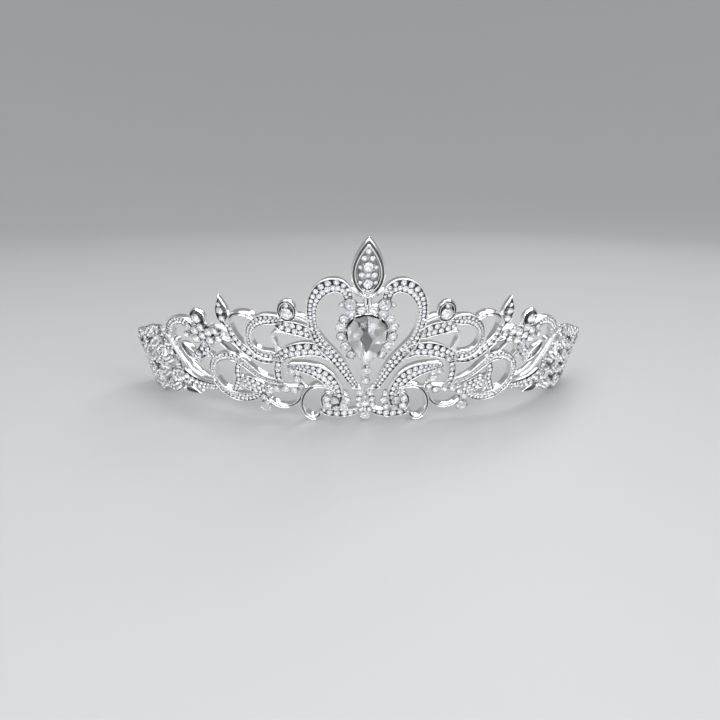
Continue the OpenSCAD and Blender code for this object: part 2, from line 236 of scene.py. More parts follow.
def join(solids: list[Solid]) -> Solid:
    """Puts several solids into one mesh.

    Args:
        solids: The solids, which stay apart as shells.

    Returns:
        One solid that holds all their points and faces.
    """
    starts = np.cumsum([0] + [len(s.verts) for s in solids[:-1]])
    faces = [np.where(s.faces < 0, -1, s.faces + start) for s, start in zip(solids, starts)]
    return Solid(
        np.concatenate([s.verts for s in solids]),
        np.concatenate(faces),
        np.concatenate([s.paint for s in solids]),
        np.concatenate([s.tone for s in solids]),
    )


def tube_of(points: np.ndarray, tone: np.ndarray | None = None) -> Solid:
    """Skins a stack of closed rings and closes both ends with a fan.

    Args:
        points: Rings by points by three.
        tone: One value a point of a ring, or none.

    Returns:
        The closed solid, facing outwards.
    """
    rings, m, _ = points.shape
    first, last = rings * m, rings * m + 1
    j, k = np.arange(m), (np.arange(m) + 1) % m
    none = np.full(m, -1)
    foot = np.stack([np.full(m, first), k, j, none], -1)
    top = np.stack([np.full(m, last), (rings - 1) * m + j, (rings - 1) * m + k, none], -1)
    ends = np.stack([points[0].mean(0), points[-1].mean(0)])
    ring_tone = np.zeros(m) if tone is None else tone
    values = np.concatenate([np.tile(ring_tone, rings), [0.0, 0.0]])
    faces = np.concatenate([skin(rings, m), foot, top])
    verts = np.concatenate([points.reshape(-1, 3), ends])
    return Solid(verts, faces, np.zeros(len(faces), int), values).outward()


def to_object(
    name: str, solid: Solid, finishes: list[bpy.types.Material], smooth: float | None
) -> bpy.types.Object:
    """Makes a Blender object of a solid.

    Args:
        name: Name of the piece.
        solid: Its mesh.
        finishes: Materials that its faces' paint indexes.
        smooth: Angle in degrees above which an edge stays sharp; none for flat facets.

    Returns:
        The linked object, at the origin.
    """
    mesh = bpy.data.meshes.new(name)
    corner = solid.faces >= 0
    sizes = corner.sum(1)
    loops = solid.faces[corner]
    mesh.vertices.add(len(solid.verts))
    mesh.vertices.foreach_set("co", solid.verts.astype(np.float32).ravel())
    mesh.loops.add(len(loops))
    mesh.loops.foreach_set("vertex_index", loops.astype(np.int32))
    mesh.polygons.add(len(sizes))
    starts = np.concatenate([[0], np.cumsum(sizes)[:-1]])
    mesh.polygons.foreach_set("loop_start", starts.astype(np.int32))
    mesh.polygons.foreach_set("material_index", solid.paint.astype(np.int32))
    for finish in finishes:
        mesh.materials.append(finish)
    tone = mesh.attributes.new("tone", "FLOAT", "POINT")
    tone.data.foreach_set("value", solid.tone.astype(np.float32))
    mesh.update(calc_edges=True)
    mesh.polygons.foreach_set("use_smooth", np.full(len(sizes), smooth is not None))
    if smooth is not None:
        mesh.set_sharp_from_angle(angle=math.radians(smooth))
    mesh.validate()
    piece = bpy.data.objects.new(name, mesh)
    bpy.context.scene.collection.objects.link(piece)
    return piece


# ---- curves on the flat drawing ------------------------------------------------------------


@dataclass
class Track:
    """A smooth curve through [s, h, width] points, at even steps of its own length.

    Between points b and c, with neighbours a and d, the curve is the Catmull-Rom cubic
    b + u (c - a)/2 + u^2 (2a - 5b + 4c - d)/2 + u^3 (3b - a - 3c + d)/2.
    """

    points: Path
    side: Side = Side.RIGHT
    step: float = 0.3
    flat: np.ndarray = field(init=False)
    run: np.ndarray = field(init=False)
    heading: np.ndarray = field(init=False)

    def __post_init__(self) -> None:
        """Samples the curve."""
        p = np.array(self.points, float)
        p[:, 0] *= self.side.value
        p = np.concatenate([2 * p[:1] - p[1:2], p, 2 * p[-1:] - p[-2:-1]])
        a, b, c, d = (p[i : len(p) - 3 + i, None] for i in range(4))
        u = np.linspace(0, 1, 24, endpoint=False)[None, :, None]
        square, cube = 2 * a - 5 * b + 4 * c - d, 3 * b - a - 3 * c + d
        fine = b + u * (c - a) / 2 + u**2 * square / 2 + u**3 * cube / 2
        fine = np.concatenate([fine.reshape(-1, 3), p[-2:-1]])
        length = np.concatenate([[0.0], np.cumsum(np.hypot(*np.diff(fine[:, :2], axis=0).T))])
        count = max(4, int(round(length[-1] / self.step)) + 1)
        self.run = np.linspace(0, length[-1], count)
        self.flat = np.stack([np.interp(self.run, length, fine[:, i]) for i in range(3)], -1)
        ahead = np.gradient(self.flat[:, :2], axis=0)
        self.heading = ahead / np.hypot(*ahead.T)[:, None]

    def across(self, run: np.ndarray, offset: np.ndarray) -> tuple[np.ndarray, np.ndarray]:
        """Places beside the curve.

        Args:
            run: Lengths along the curve.
            offset: Distances to its right.

        Returns:
            s and h of the places.
        """
        s, h, ux, uy = (np.interp(run, self.run, v) for v in (*self.flat[:, :2].T, *self.heading.T))
        return s + uy * offset, h - ux * offset


class Crown(Enum):
    """Cross-sections of a ribbon."""

    CHANNEL = "two rails with a sunk bed between them, for stones"
    TWIN = "two round wires side by side"
    ROUND = "one crowned wire"


@dataclass
class Section:
    """Cross-section of a ribbon, as rows of (share of half width, offset, proud, tone); the tone paints
    shade.

    Attributes:
        crown: Shape of its front.
        rear: Where its back lies.
        top: Where its highest point lies.
        rails: Widths of a channel's left and right rail.
        bed: Where a channel's bed lies.
    """

    SLIM = 0.84  # half width of the back, as a share of the front's
    EDGE = 0.22  # radius of the back's corners
    GAP = 0.08  # half width of the painted shade line between twin wires
    ARC_POINTS, FRONT_POINTS = 7, 17

    crown: Crown
    rear: float
    top: float
    rails: tuple[float, float] = (0.45, 0.45)
    bed: float = 0.75

    def rows(self) -> np.ndarray:
        """Points round the section.

        A rail is a half circle on its wall. Twin wires are two half circles, each as wide as half of the
        ribbon. The back has rounded corners and a shallow hollow. The tone paints shade: full in a
        channel's bed and in the line between twin wires, partial in the middle of the back.

        Returns:
            An array of points by four.
        """
        slim, edge, low = self.SLIM, self.EDGE, self.rear
        if self.crown is Crown.CHANNEL:
            parts = []
            arc = np.linspace(0, math.pi, self.ARC_POINTS)
            flat = np.zeros(self.ARC_POINTS)
            for sign, rail in ((-1, self.rails[0]), (1, self.rails[1])):
                offset = rail / 2 * (1 - np.cos(arc))
                proud = self.top - rail / 2 + rail / 2 * np.sin(arc)
                rail_rows = np.stack([flat + sign, -sign * offset, proud, flat], -1)
                # painted shade: tone 1 at the foot of each rail and in the bed
                foot = [[sign, -sign * (rail + 0.04), self.bed, 1.0]]
                parts.append(np.concatenate([rail_rows, foot]))
            front = np.concatenate([parts[0], [[0.0, 0.0, self.bed - 0.05, 1.0]], parts[1][::-1]])
        else:
            x = np.linspace(-1, 1, self.FRONT_POINTS)
            twin = self.crown is Crown.TWIN
            shape = np.sqrt(np.clip(1 - (2 * np.abs(x) - 1 if twin else x) ** 2, 0, 1))
            # painted shade: tone 1 along the line between twin wires
            tone = np.where(np.abs(x) < self.GAP, 1.0, 0.0) if twin else 0 * x
            side = low + (self.top - low) * 0.5
            front = np.stack([x, 0 * x, side + (self.top - side) * shape, tone], -1)
        # painted shade: tone up to 0.5 in the middle of the back
        rear = [
            [slim, 0, low + edge, 0], [slim, -edge, low, 0], [0.4, 0, low + 0.05, 0.3],
            [0, 0, low + 0.16, 0.5], [-0.4, 0, low + 0.05, 0.3], [-slim, edge, low, 0],
            [-slim, 0, low + edge, 0],
        ]
        return np.concatenate([front, rear])


END_WIDTH = 0.12  # width at the very end of a ribbon, as a share of its full width


def ribbon(track: Track, section: Section) -> Solid:
    """Carries a section along a track.

    A point is the track's point, moved sideways by share * width / 2 + offset, and out by proud.
    Near an end the width follows a circle, so that the end is round.

    Args:
        track: The path and its width.
        section: The cross-section.

    Returns:
        The closed solid.
    """
    rows = section.rows()
    reach = np.minimum(track.run, track.run[-1] - track.run)
    lack = np.clip(1 - reach / (track.flat[:, 2] / 2), 0, 1)
    width = track.flat[:, 2] * np.clip(np.sqrt(1 - lack**2), END_WIDTH, 1)
    share = np.clip(width / track.flat[:, 2], 0, 1)
    offset = rows[None, :, 0] * width[:, None] / 2 + rows[None, :, 1] * share[:, None]
    s = track.flat[:, :1] + track.heading[:, 1:] * offset
    h = track.flat[:, 1:2] - track.heading[:, :1] * offset
    return tube_of(BAND.place(s, h, np.broadcast_to(rows[None, :, 2], s.shape)), rows[:, 3])


ROW_PITCH = 1.8  # from one row of stones to the next, in radii
STONE_GAP = 1.05  # from one stone of a row to the next, in diameters
STONE_ROOM = 0.98  # a stone's share of the radius that it may fill
STONE_LEAST, STONE_MOST = 0.42, 1.25  # radii of paved stones


def pave(track: Track, rows: int, rails: tuple[float, float]) -> np.ndarray:
    """Packs rows of stones into the channel of a ribbon.

    The radius is the channel's width over 2 + ROW_PITCH (rows - 1). The number of stones passed
    along the track is the integral of 1 / (2 STONE_GAP radius), and a stone sits at each whole
    number of it, every second row half a stone later.

    Args:
        track: The ribbon's path.
        rows: Number of rows.
        rails: Widths of the rails on the path's left and right.

    Returns:
        Rows of (s, h, radius).
    """
    room = np.clip(track.flat[:, 2] - sum(rails) - 0.1, 0.5, None)
    radius = np.clip(room / (2 + ROW_PITCH * (rows - 1)), STONE_LEAST, STONE_MOST)
    steps = np.diff(track.run) / (STONE_GAP * (radius[1:] + radius[:-1]))
    passed = np.concatenate([[0.0], np.cumsum(steps)])
    found = []
    for row in range(rows):
        marks = np.arange(0.55 + 0.5 * (row % 2), passed[-1] - 0.45, 1.0)
        run = np.interp(marks, passed, track.run)
        r = np.interp(run, track.run, radius)
        shift = (row - (rows - 1) / 2) * ROW_PITCH * r + (rails[0] - rails[1]) / 2
        found.append(np.stack([*track.across(run, shift), r * STONE_ROOM], -1))
    return np.concatenate(found)


# ---- small repeated shapes -----------------------------------------------------------------


def ring_at(angle: np.ndarray, radius: float, z: float) -> np.ndarray:
    """Points of a level circle."""
    return np.stack([radius * np.cos(angle), radius * np.sin(angle), np.full(len(angle), z)], -1)


class Gem:
    """A round stone of girdle radius one, its table up and its foiled point down."""

    TABLE, CROWN, DEEP = 0.56, 0.42, 0.62
    STAR, STAR_RISE = 0.8, 0.24
    LAST = 32  # number of the foiled point

    @classmethod
    def template(cls) -> Template:
        """Points, faces and paint of one stone.

        The table is an octagon of three quads. Eight star facets, eight kites and sixteen upper
        halves lead to a girdle of sixteen points, and eight kites below it meet in the point.

        Returns:
            Points, faces with -1 for a missing corner, and 0 for glass or 1 for foil.
        """
        eighth = circle(8)
        verts = np.concatenate([
            ring_at(eighth, cls.TABLE, cls.CROWN),
            ring_at(eighth + math.pi / 8, cls.STAR, cls.STAR_RISE),
            ring_at(circle(16), 1.0, 0.0),
            [[0, 0, -cls.DEEP]],
        ])
        i = np.arange(8)
        j, none = (i + 1) % 8, np.full(8, -1)
        t, m, g = i, 8 + i, 16 + 2 * i
        m_last, g_mid, g_next, g_last = 8 + (i - 1) % 8, g + 1, 16 + 2 * j, 16 + (2 * i - 1) % 16
        faces = np.concatenate([
            [[0, 1, 2, 3], [0, 3, 4, 7], [4, 5, 6, 7]],
            np.stack([t, m, j, none], -1),
            np.stack([t, m_last, g, m], -1),
            np.stack([m, g, g_mid, none], -1),
            np.stack([m, g_mid, g_next, none], -1),
            np.stack([np.full(8, cls.LAST), g_mid, g, g_last], -1),
        ])
        paint = np.concatenate([np.zeros(len(faces) - 8, int), np.ones(8, int)])
        return verts, faces, paint


def lathe(levels: list[tuple[float, float]], segments: int) -> Template:
    """Turns a profile about its own axis.

    Args:
        levels: Rows of (radius, height), from the foot up.
        segments: Number of sides.

    Returns:
        Points, faces and paint.
    """
    solid = tube_of(np.stack([ring_at(circle(segments), radius, z) for radius, z in levels]))
    return solid.verts, solid.faces, solid.paint


DOME = [(0.8, -1.0), (1.0, 0.0), (0.8, 0.6), (0.38, 0.92)]
BEAD, GRAIN = lathe(DOME, 8), lathe(DOME, 6)  # a low dome on a short foot, for claws and grains
CUP = lathe([  # a collet: a tapered wall, a bright lip and a sunk seat
    (0.6, -1.1), (1.0, -0.35), (1.14, 0.0), (1.1, 0.1), (1.0, 0.08), (0.92, -0.12), (0.4, -0.55),
    (0.05, -0.7),
], 16)


@dataclass
class Setter:
    """Sets many copies of a small shape on the band, each with its own small turn and tilt."""

    seed: int
    tilt: float = 0.05

    def set(
        self, template: Template, places: np.ndarray, n: np.ndarray | float, height: float = 1.0
    ) -> Solid:
        """Copies a template to places.

        A copy is centre + r (x along' + y up' + z out'), where the three directions are those of
        the band, leaned by a small random angle and turned about their own out direction.

        Args:
            template: Points, faces and paint of the shape, of radius one.
            places: Rows of (s, h, radius).
            n: How far proud each centre is.
            height: Stretch of the shape's own height.

        Returns:
            All copies as one solid.
        """
        verts, faces, paint = template
        places = np.asarray(places, float)
        count = len(places)
        rng = np.random.default_rng(self.seed)
        axes = BAND.axes(places[:, 0])
        lean = rng.normal(0, self.tilt, (count, 2))
        spin = rng.uniform(0, 2 * math.pi, count)
        out = axes[:, 2] + lean[:, :1] * axes[:, 0] + lean[:, 1:] * axes[:, 1]
        out /= np.linalg.norm(out, axis=1)[:, None]
        along = np.cos(spin)[:, None] * axes[:, 0] + np.sin(spin)[:, None] * axes[:, 1]
        along -= np.einsum("ij,ij->i", along, out)[:, None] * out
        along /= np.linalg.norm(along, axis=1)[:, None]
        up = np.cross(out, along)
        local = np.stack([along, up, out], axis=1)
        centre = BAND.place(places[:, 0], places[:, 1], np.broadcast_to(n, count))
        shape = verts * np.array([1, 1, height])
        turned = np.einsum("vk,nkj->nvj", shape, local)
        points = centre[:, None] + places[:, 2, None, None] * MM * turned
        shift = np.arange(count)[:, None, None] * len(verts)
        all_faces = np.where(faces[None] < 0, -1, faces[None] + shift).reshape(-1, 4)
        tone = np.repeat(rng.uniform(0, 1, count), len(verts))
        return Solid(points.reshape(-1, 3), all_faces, np.tile(paint, count), tone)


def ring_of(places: np.ndarray, count: int, reach: float, size: float, turn: float = 0.4) -> np.ndarray:
    """Places evenly round each given place, as for claws.

    Args:
        places: Rows of (s, h, radius).
        count: Number round each place.
        reach: Distance from the centre, in radii.
        size: Radius of the new places, in radii.
        turn: Angle of the first, in radians.

    Returns:
        Rows of (s, h, radius).
    """
    places = np.asarray(places, float)
    a = turn + circle(count)
    s = places[:, :1] + reach * places[:, 2:] * np.cos(a)
    h = places[:, 1:2] + reach * places[:, 2:] * np.sin(a)
    r = np.broadcast_to(size * places[:, 2:], s.shape)
    return np.stack([s, h, r], -1).reshape(-1, 3)


# ---- plates with an outline ----------------------------------------------------------------


def leaf_outline(
    foot: tuple[float, float], tip: tuple[float, float], width: float,
    full: float, swell: float, count: int = 48,
) -> np.ndarray:
    """Outline of a leaf.

    At a share x of the way from foot to tip the half width is width / 2 * sin(pi x^e)^swell, and
    e puts the widest place at x = full.

    Args:
        foot: Lower end.
        tip: Upper end.
        width: Greatest width.
        full: Share of the length where it is widest.
        swell: Below one, the sides bulge and the ends are blunter.
        count: Number of points.

    Returns:
        Rows of (s, h).
    """
    foot, tip = np.array(foot), np.array(tip)
    v = tip - foot
    length = np.hypot(*v)
    u = v / length
    turn = circle(count)
    x = (1 - np.cos(turn)) / 2
    power = math.log(0.5) / math.log(full)
    bulge = np.clip(np.sin(math.pi * x**power), 0, 1) ** swell
    half = width / 2 * bulge * np.sign(np.sin(turn) + 1e-12)
    return foot + u * (length * x)[:, None] + np.array([u[1], -u[0]]) * half[:, None]


@dataclass
class Plate:
    """A cast plate with a closed outline: a rim, a sunk or domed middle and a smooth back.

    Attributes:
        outline: Rows of (s, h) of the right half's piece.
        middle: Where its rings close in.
        top: Front of the rim.
        bed: Front of the middle.
        rim: Width of the rim as a share of the plate.
        groove: Whether a second, inner rim runs inside the first.
        rear: Where its back lies.
    """

    outline: np.ndarray
    middle: tuple[float, float]
    top: float
    bed: float
    rim: float = 0.13
    groove: bool = False
    rear: float = BAND.back

    def levels(self) -> np.ndarray:
        """Rings from the back's middle to the front's, as (share of the outline, proud, tone); the tone
        paints shade, fullest in the groove and at the foot of the rim, partial in the middle and on the
        back.
        """
        r, top, bed, rear = self.rim, self.top, self.bed, self.rear
        back = [
            (0.02, rear + 0.12, 0.5), (0.45, rear + 0.06, 0.3), (0.74, rear, 0), (0.88, rear + 0.25, 0),
        ]
        wall = [
            (0.965, rear + 0.8, 0), (1.0, top - 0.95, 0), (0.992, top - 0.5, 0), (0.975, top - 0.25, 0),
        ]
        crest = [
            (1 - r * 0.45, top - 0.06, 0), (1 - r * 0.6, top, 0), (1 - r * 0.8, top - 0.06, 0.1),
            (1 - r * 0.95, top - 0.25, 0.4),
        ]
        inner = [
            (1 - r * 1.05, top - 0.8, 1), (1 - r * 1.55, top - 0.8, 1), (1 - r * 1.65, top - 0.25, 0.2),
            (1 - r * 1.85, top - 0.1, 0), (1 - r * 2.3, top - 0.12, 0), (1 - r * 2.45, bed, 0.8),
        ]
        edge = back + wall + crest + (inner if self.groove else [(1 - r * 1.05, bed, 0.9)])
        last = edge[-1][0]
        edge += [(last * 0.6, bed + 0.02, 0.5), (last * 0.25, bed + 0.04, 0.4), (0.02, bed + 0.05, 0.4)]
        return np.array(edge)

    def build(self, side: Side = Side.RIGHT) -> Solid:
        """The plate on one side: ring k is middle + share_k (outline - middle), at its own proud."""
        levels, middle = self.levels(), np.asarray(self.middle)
        ring = middle + levels[:, None, :1] * (self.outline - middle)[None]
        n = np.broadcast_to(levels[:, None, 1], ring.shape[:2])
        solid = tube_of(BAND.place(ring[..., 0] * side.value, ring[..., 1], n))
        # painted shade: the rings' tone, and partial shade at the two centres
        solid.tone = np.concatenate([np.repeat(levels[:, 2], len(self.outline)), [0.6, 0.4]])
        return solid


def leaf(
    foot: tuple[float, float], tip: tuple[float, float], width: float,
    full: float = 0.42, swell: float = 0.85, **kind: float,
) -> Plate:
    """A leaf-shaped plate; kind holds any of the plate's other fields."""
    middle = (foot[0] * 0.55 + tip[0] * 0.45, foot[1] * 0.55 + tip[1] * 0.45)
    given = {"top": BAND.proud, "bed": BAND.face - 0.2} | kind
    return Plate(leaf_outline(foot, tip, width, full, swell), middle, **given)


# ---- finishes ------------------------------------------------------------------------------


class Tree:
    """A new material's node tree, with short ways to fill it."""

    def __init__(self, name: str, values: dict[str, object]) -> None:
        """Starts from the standard shader and sets some of its inputs."""
        self.material = bpy.data.materials.new(name)
        self.material.use_nodes = True
        self.nodes = self.material.node_tree.nodes
        self.shader = self.nodes["Principled BSDF"]
        self.fill(self.shader, values)

    @staticmethod
    def fill(node: bpy.types.Node, values: dict[str | int, object]) -> None:
        """Sets inputs of a node."""
        for key, value in values.items():
            node.inputs[key].default_value = value

    def add(self, kind: str, values: dict[str | int, object], **options: object) -> bpy.types.Node:
        """Adds a node, sets its options and then its inputs."""
        node = self.nodes.new(kind)
        for key, value in options.items():
            setattr(node, key, value)
        self.fill(node, values)
        return node

    def blend(self, first: Colour, second: Colour) -> bpy.types.Node:
        """Adds a mix of two colours."""
        return self.add("ShaderNodeMix", {"A": (*first, 1), "B": (*second, 1)}, data_type="RGBA")

    def link(self, source: bpy.types.Node, output: str, target: bpy.types.Node, key: str | int) -> None:
        """Joins an output to an input."""
        self.material.node_tree.links.new(source.outputs[output], target.inputs[key])


@dataclass(frozen=True)
class Silver:
    """Silver plate: mirror-like on its proud metal, with painted shade that makes it darker and duller in
    its hollows, and slow random patches.

    Attributes:
        name: Material name.
        bright: Colour of the proud metal.
        dull: Colour of the painted shade in the hollows.
        rough: Roughness of proud metal and of hollows.
    """

    name: str
    bright: Colour = (0.93, 0.93, 0.935)
    dull: Colour = (0.10, 0.10, 0.105)
    rough: tuple[float, float] = (0.13, 0.34)

    def make(self) -> bpy.types.Material:
        """Builds the node tree: tone, which paints shade into hollows, and slow noise set colour and
        roughness, fine noise the bump.
        """
        tree = Tree(self.name, {"Metallic": 1.0})
        place = tree.add("ShaderNodeTexCoord", {})
        tone = tree.add("ShaderNodeAttribute", {}, attribute_name="tone")
        cloud = tree.add("ShaderNodeTexNoise", {"Scale": 320.0, "Detail": 4.0})
        grain = tree.add("ShaderNodeTexNoise", {"Scale": 2600.0, "Detail": 2.0})
        spread = tree.add("ShaderNodeMath", {1: 0.5}, operation="SUBTRACT")
        # painted shade: the tone darkens and dulls the hollows, and the slow noise adds random patches
        painted_shade_and_mottle = tree.add("ShaderNodeMath", {1: 0.45}, operation="MULTIPLY_ADD", use_clamp=True)
        colour = tree.blend(self.bright, self.dull)
        rough = tree.add("ShaderNodeMapRange", {"To Min": self.rough[0], "To Max": self.rough[1]})
        bump = tree.add("ShaderNodeBump", {"Strength": 0.12, "Distance": 0.00006})
        tree.link(place, "Object", cloud, "Vector")
        tree.link(place, "Object", grain, "Vector")
        tree.link(cloud, "Fac", spread, 0)
        tree.link(spread, "Value", painted_shade_and_mottle, 0)
        tree.link(tone, "Fac", painted_shade_and_mottle, 2)
        tree.link(painted_shade_and_mottle, "Value", colour, "Factor")
        tree.link(painted_shade_and_mottle, "Value", rough, "Value")
        tree.link(grain, "Fac", bump, "Height")
        tree.link(colour, "Result", tree.shader, "Base Color")
        tree.link(rough, "Result", tree.shader, "Roughness")
        tree.link(bump, "Normal", tree.shader, "Normal")
        return tree.material


@dataclass(frozen=True)
class Glass:
    """Clear cut glass whose clearness differs a little from stone to stone."""

    name: str
    clear: Colour = (1.0, 1.0, 1.0)
    cool: Colour = (0.95, 0.975, 1.0)
    ior: float = 1.62

    def make(self) -> bpy.types.Material:
        """Builds the node tree; shadow rays pass, so that lamps reach the foil behind."""
        tree = Tree(self.name, {"Roughness": 0.0, "IOR": self.ior, "Transmission Weight": 1.0})
        tone = tree.add("ShaderNodeAttribute", {}, attribute_name="tone")
        colour = tree.blend(self.clear, self.cool)
        route = tree.add("ShaderNodeLightPath", {})
        through = tree.add("ShaderNodeBsdfTransparent", {})
        mix = tree.add("ShaderNodeMixShader", {})
        tree.link(tone, "Fac", colour, "Factor")
        tree.link(colour, "Result", tree.shader, "Base Color")
        tree.link(route, "Is Shadow Ray", mix, "Fac")
        tree.link(tree.shader, "BSDF", mix, 1)
        tree.link(through, "BSDF", mix, 2)
        tree.link(mix, "Shader", tree.nodes["Material Output"], "Surface")
        return tree.material


@dataclass(frozen=True)
class Foil:
    """The mirror coat on the back of a stone, with the slight unevenness of a dipped coat."""

    name: str
    bright: Colour = (0.97, 0.97, 0.98)
    dim: Colour = (0.72, 0.73, 0.76)
    mirror: float = 0.72

    def make(self) -> bpy.types.Material:
        """Builds the node tree."""
        tree = Tree(self.name, {"Metallic": self.mirror, "Roughness": 0.08})
        place = tree.add("ShaderNodeTexCoord", {})
        cloud = tree.add("ShaderNodeTexNoise", {"Scale": 900.0})
        colour = tree.blend(self.bright, self.dim)
        tree.link(place, "Object", cloud, "Vector")
        tree.link(cloud, "Fac", colour, "Factor")
        tree.link(colour, "Result", tree.shader, "Base Color")
        return tree.material


SMOOTH_BELOW = 38.0  # edges of the metal that turn by more degrees than this stay sharp


class Bench:
    """Holds the finishes, and turns solids into pieces that ride on the tiara."""

    def __init__(self) -> None:
        """Makes the finishes."""
        self.cast = Silver("cast silver plate").make()
        polished = Silver("polished silver plate", rough=(0.07, 0.26), dull=(0.16, 0.16, 0.165))
        self.polished = polished.make()
        self.glass = Glass("rhinestone glass").make()
        self.pear_glass = Glass("pear crystal glass", ior=1.58).make()
        self.foil = Foil("stone foil").make()
        # painted shade: two darker foils for the pear's kite and some of its facets
        self.shade = Foil("shaded foil", (0.2, 0.2, 0.21), (0.1, 0.1, 0.11), 0.5).make()
        half = Foil("half-shaded foil", (0.55, 0.55, 0.56), (0.36, 0.36, 0.37), 0.6)
        self.half_shade = half.make()
        self.made = 0

    def metal(self, name: str, solids: list[Solid], finish: Finish, node: str) -> None:
        """A metal piece.

        Args:
            name: Name of the piece.
            solids: Its shells.
            finish: Cast or polished.
            node: CAD node that it stands for.
        """
        material = self.polished if finish is Finish.POLISHED else self.cast
        self.fasten(to_object(name, join(solids), [material], SMOOTH_BELOW), node)

    def stones(
        self, name: str, places: np.ndarray, n: np.ndarray | float, seed: int, node: str | None = None
    ) -> None:
        """A group of round stones.

        Args:
            name: Name of the piece.
            places: Rows of (s, h, radius).
            n: How far proud their girdles are.
            seed: Seed of their small turns and tilts.
            node: CAD node that it stands for, if any.
        """
        solid = Setter(seed).set(Gem.template(), places, n)
        self.fasten(to_object(name, solid, [self.glass, self.foil], None), node)

    def fasten(self, piece: bpy.types.Object, node: str | None) -> None:
        """Fastens a piece to the tiara and logs it."""
        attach(piece, "root")
        if node:
            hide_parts(node)
        self.made += 1
        LOG.info("%-26s %6d faces, for %s", piece.name, len(piece.data.polygons), node or "looks only")


# ---- sub-assemblies ------------------------------------------------------------------------


def sided(places: Places, side: Side) -> np.ndarray:
    """Places of the right half, turned to a side."""
    return np.array(places, float) * np.array([side.value, 1, 1])


@dataclass
class Finial:
    """The pointed finial: rim, bed, stones and the bridge that carries it."""

    foot: float = 41.2
    tip: float = 58.8
    width: float = 8.6
    stones: Places = field(default_factory=lambda: [
        (0, 50.6, 1.3), (0, 45.7, 1.3), (0, 43.2, 0.7), (-1.6, 48.2, 0.8), (1.6, 48.2, 0.8),
        (0, 48.1, 0.65), (-1.0, 52.9, 0.75), (1.0, 52.9, 0.75), (0, 54.8, 0.75), (-1.95, 46.0, 0.55),
        (1.95, 46.0, 0.55), (-1.95, 50.4, 0.6), (1.95, 50.4, 0.6), (-1.15, 43.9, 0.45),
        (1.15, 43.9, 0.45), (0, 56.1, 0.4),
    ])

    def build(self, bench: Bench) -> None:
        """Makes the finial's pieces.

        Args:
            bench: Finishes and fastening.
        """
        outline = leaf_outline((0, self.foot), (0, self.tip), self.width, 0.42, 0.76, 72)
        middle = (0, self.foot + (self.tip - self.foot) * 0.42)
        rim = Plate(outline, middle, BAND.face + 0.5, 0.35, rim=0.115, groove=True)
        bench.metal("finial_plate", [rim.build()], Finish.POLISHED, "finial_rim")
        inner = leaf_outline((0, self.foot + 1.8), (0, self.tip - 2.4), self.width - 2.9, 0.42, 0.8)
        bed = Plate(inner, middle, 0.85, 0.55, rim=0.1, rear=0.1)
        grains = ring_of(np.array(self.stones[:3]), 6, 1.12, 0.16)  # round the first three stones
        beads = Setter(3).set(BEAD, grains, 1.25)
        bench.metal("finial_tray", [bed.build(), beads], Finish.CAST, "finial_bed")
        stones = np.array(self.stones)
        seat = np.maximum(1.0, 0.58 + Gem.DEEP * stones[:, 2])  # a foil's point just over the tray
        bench.stones("finial_rhinestones", stones, seat, 11, "finial_stones")
        self.bridge(bench)

    def bridge(self, bench: Bench) -> None:
        """Makes the stem and the two cross wires under the finial."""
        rise = [(0, 36.8, 2.9), (0, 39.2, 2.5), (0, 42.6, 2.2)]
        bar = [(-5, 38.9, 2.9), (0, 38.0, 2.9), (5, 38.9, 2.9)]
        yoke = [(-5.8, 43.4, 1.6), (-3.6, 43.4, 2.0), (0, 41.9, 1.8), (3.6, 43.4, 2.0), (5.8, 43.4, 1.6)]
        wires = [
            Strip(rise, Crown.TWIN),
            Strip(bar, Crown.ROUND, BAND.face),
            Strip(yoke, Crown.ROUND, BAND.face + 0.1),
        ]
        bench.metal("finial_stem", [wire.metal(Side.RIGHT) for wire in wires], Finish.CAST, "finial_bridge")


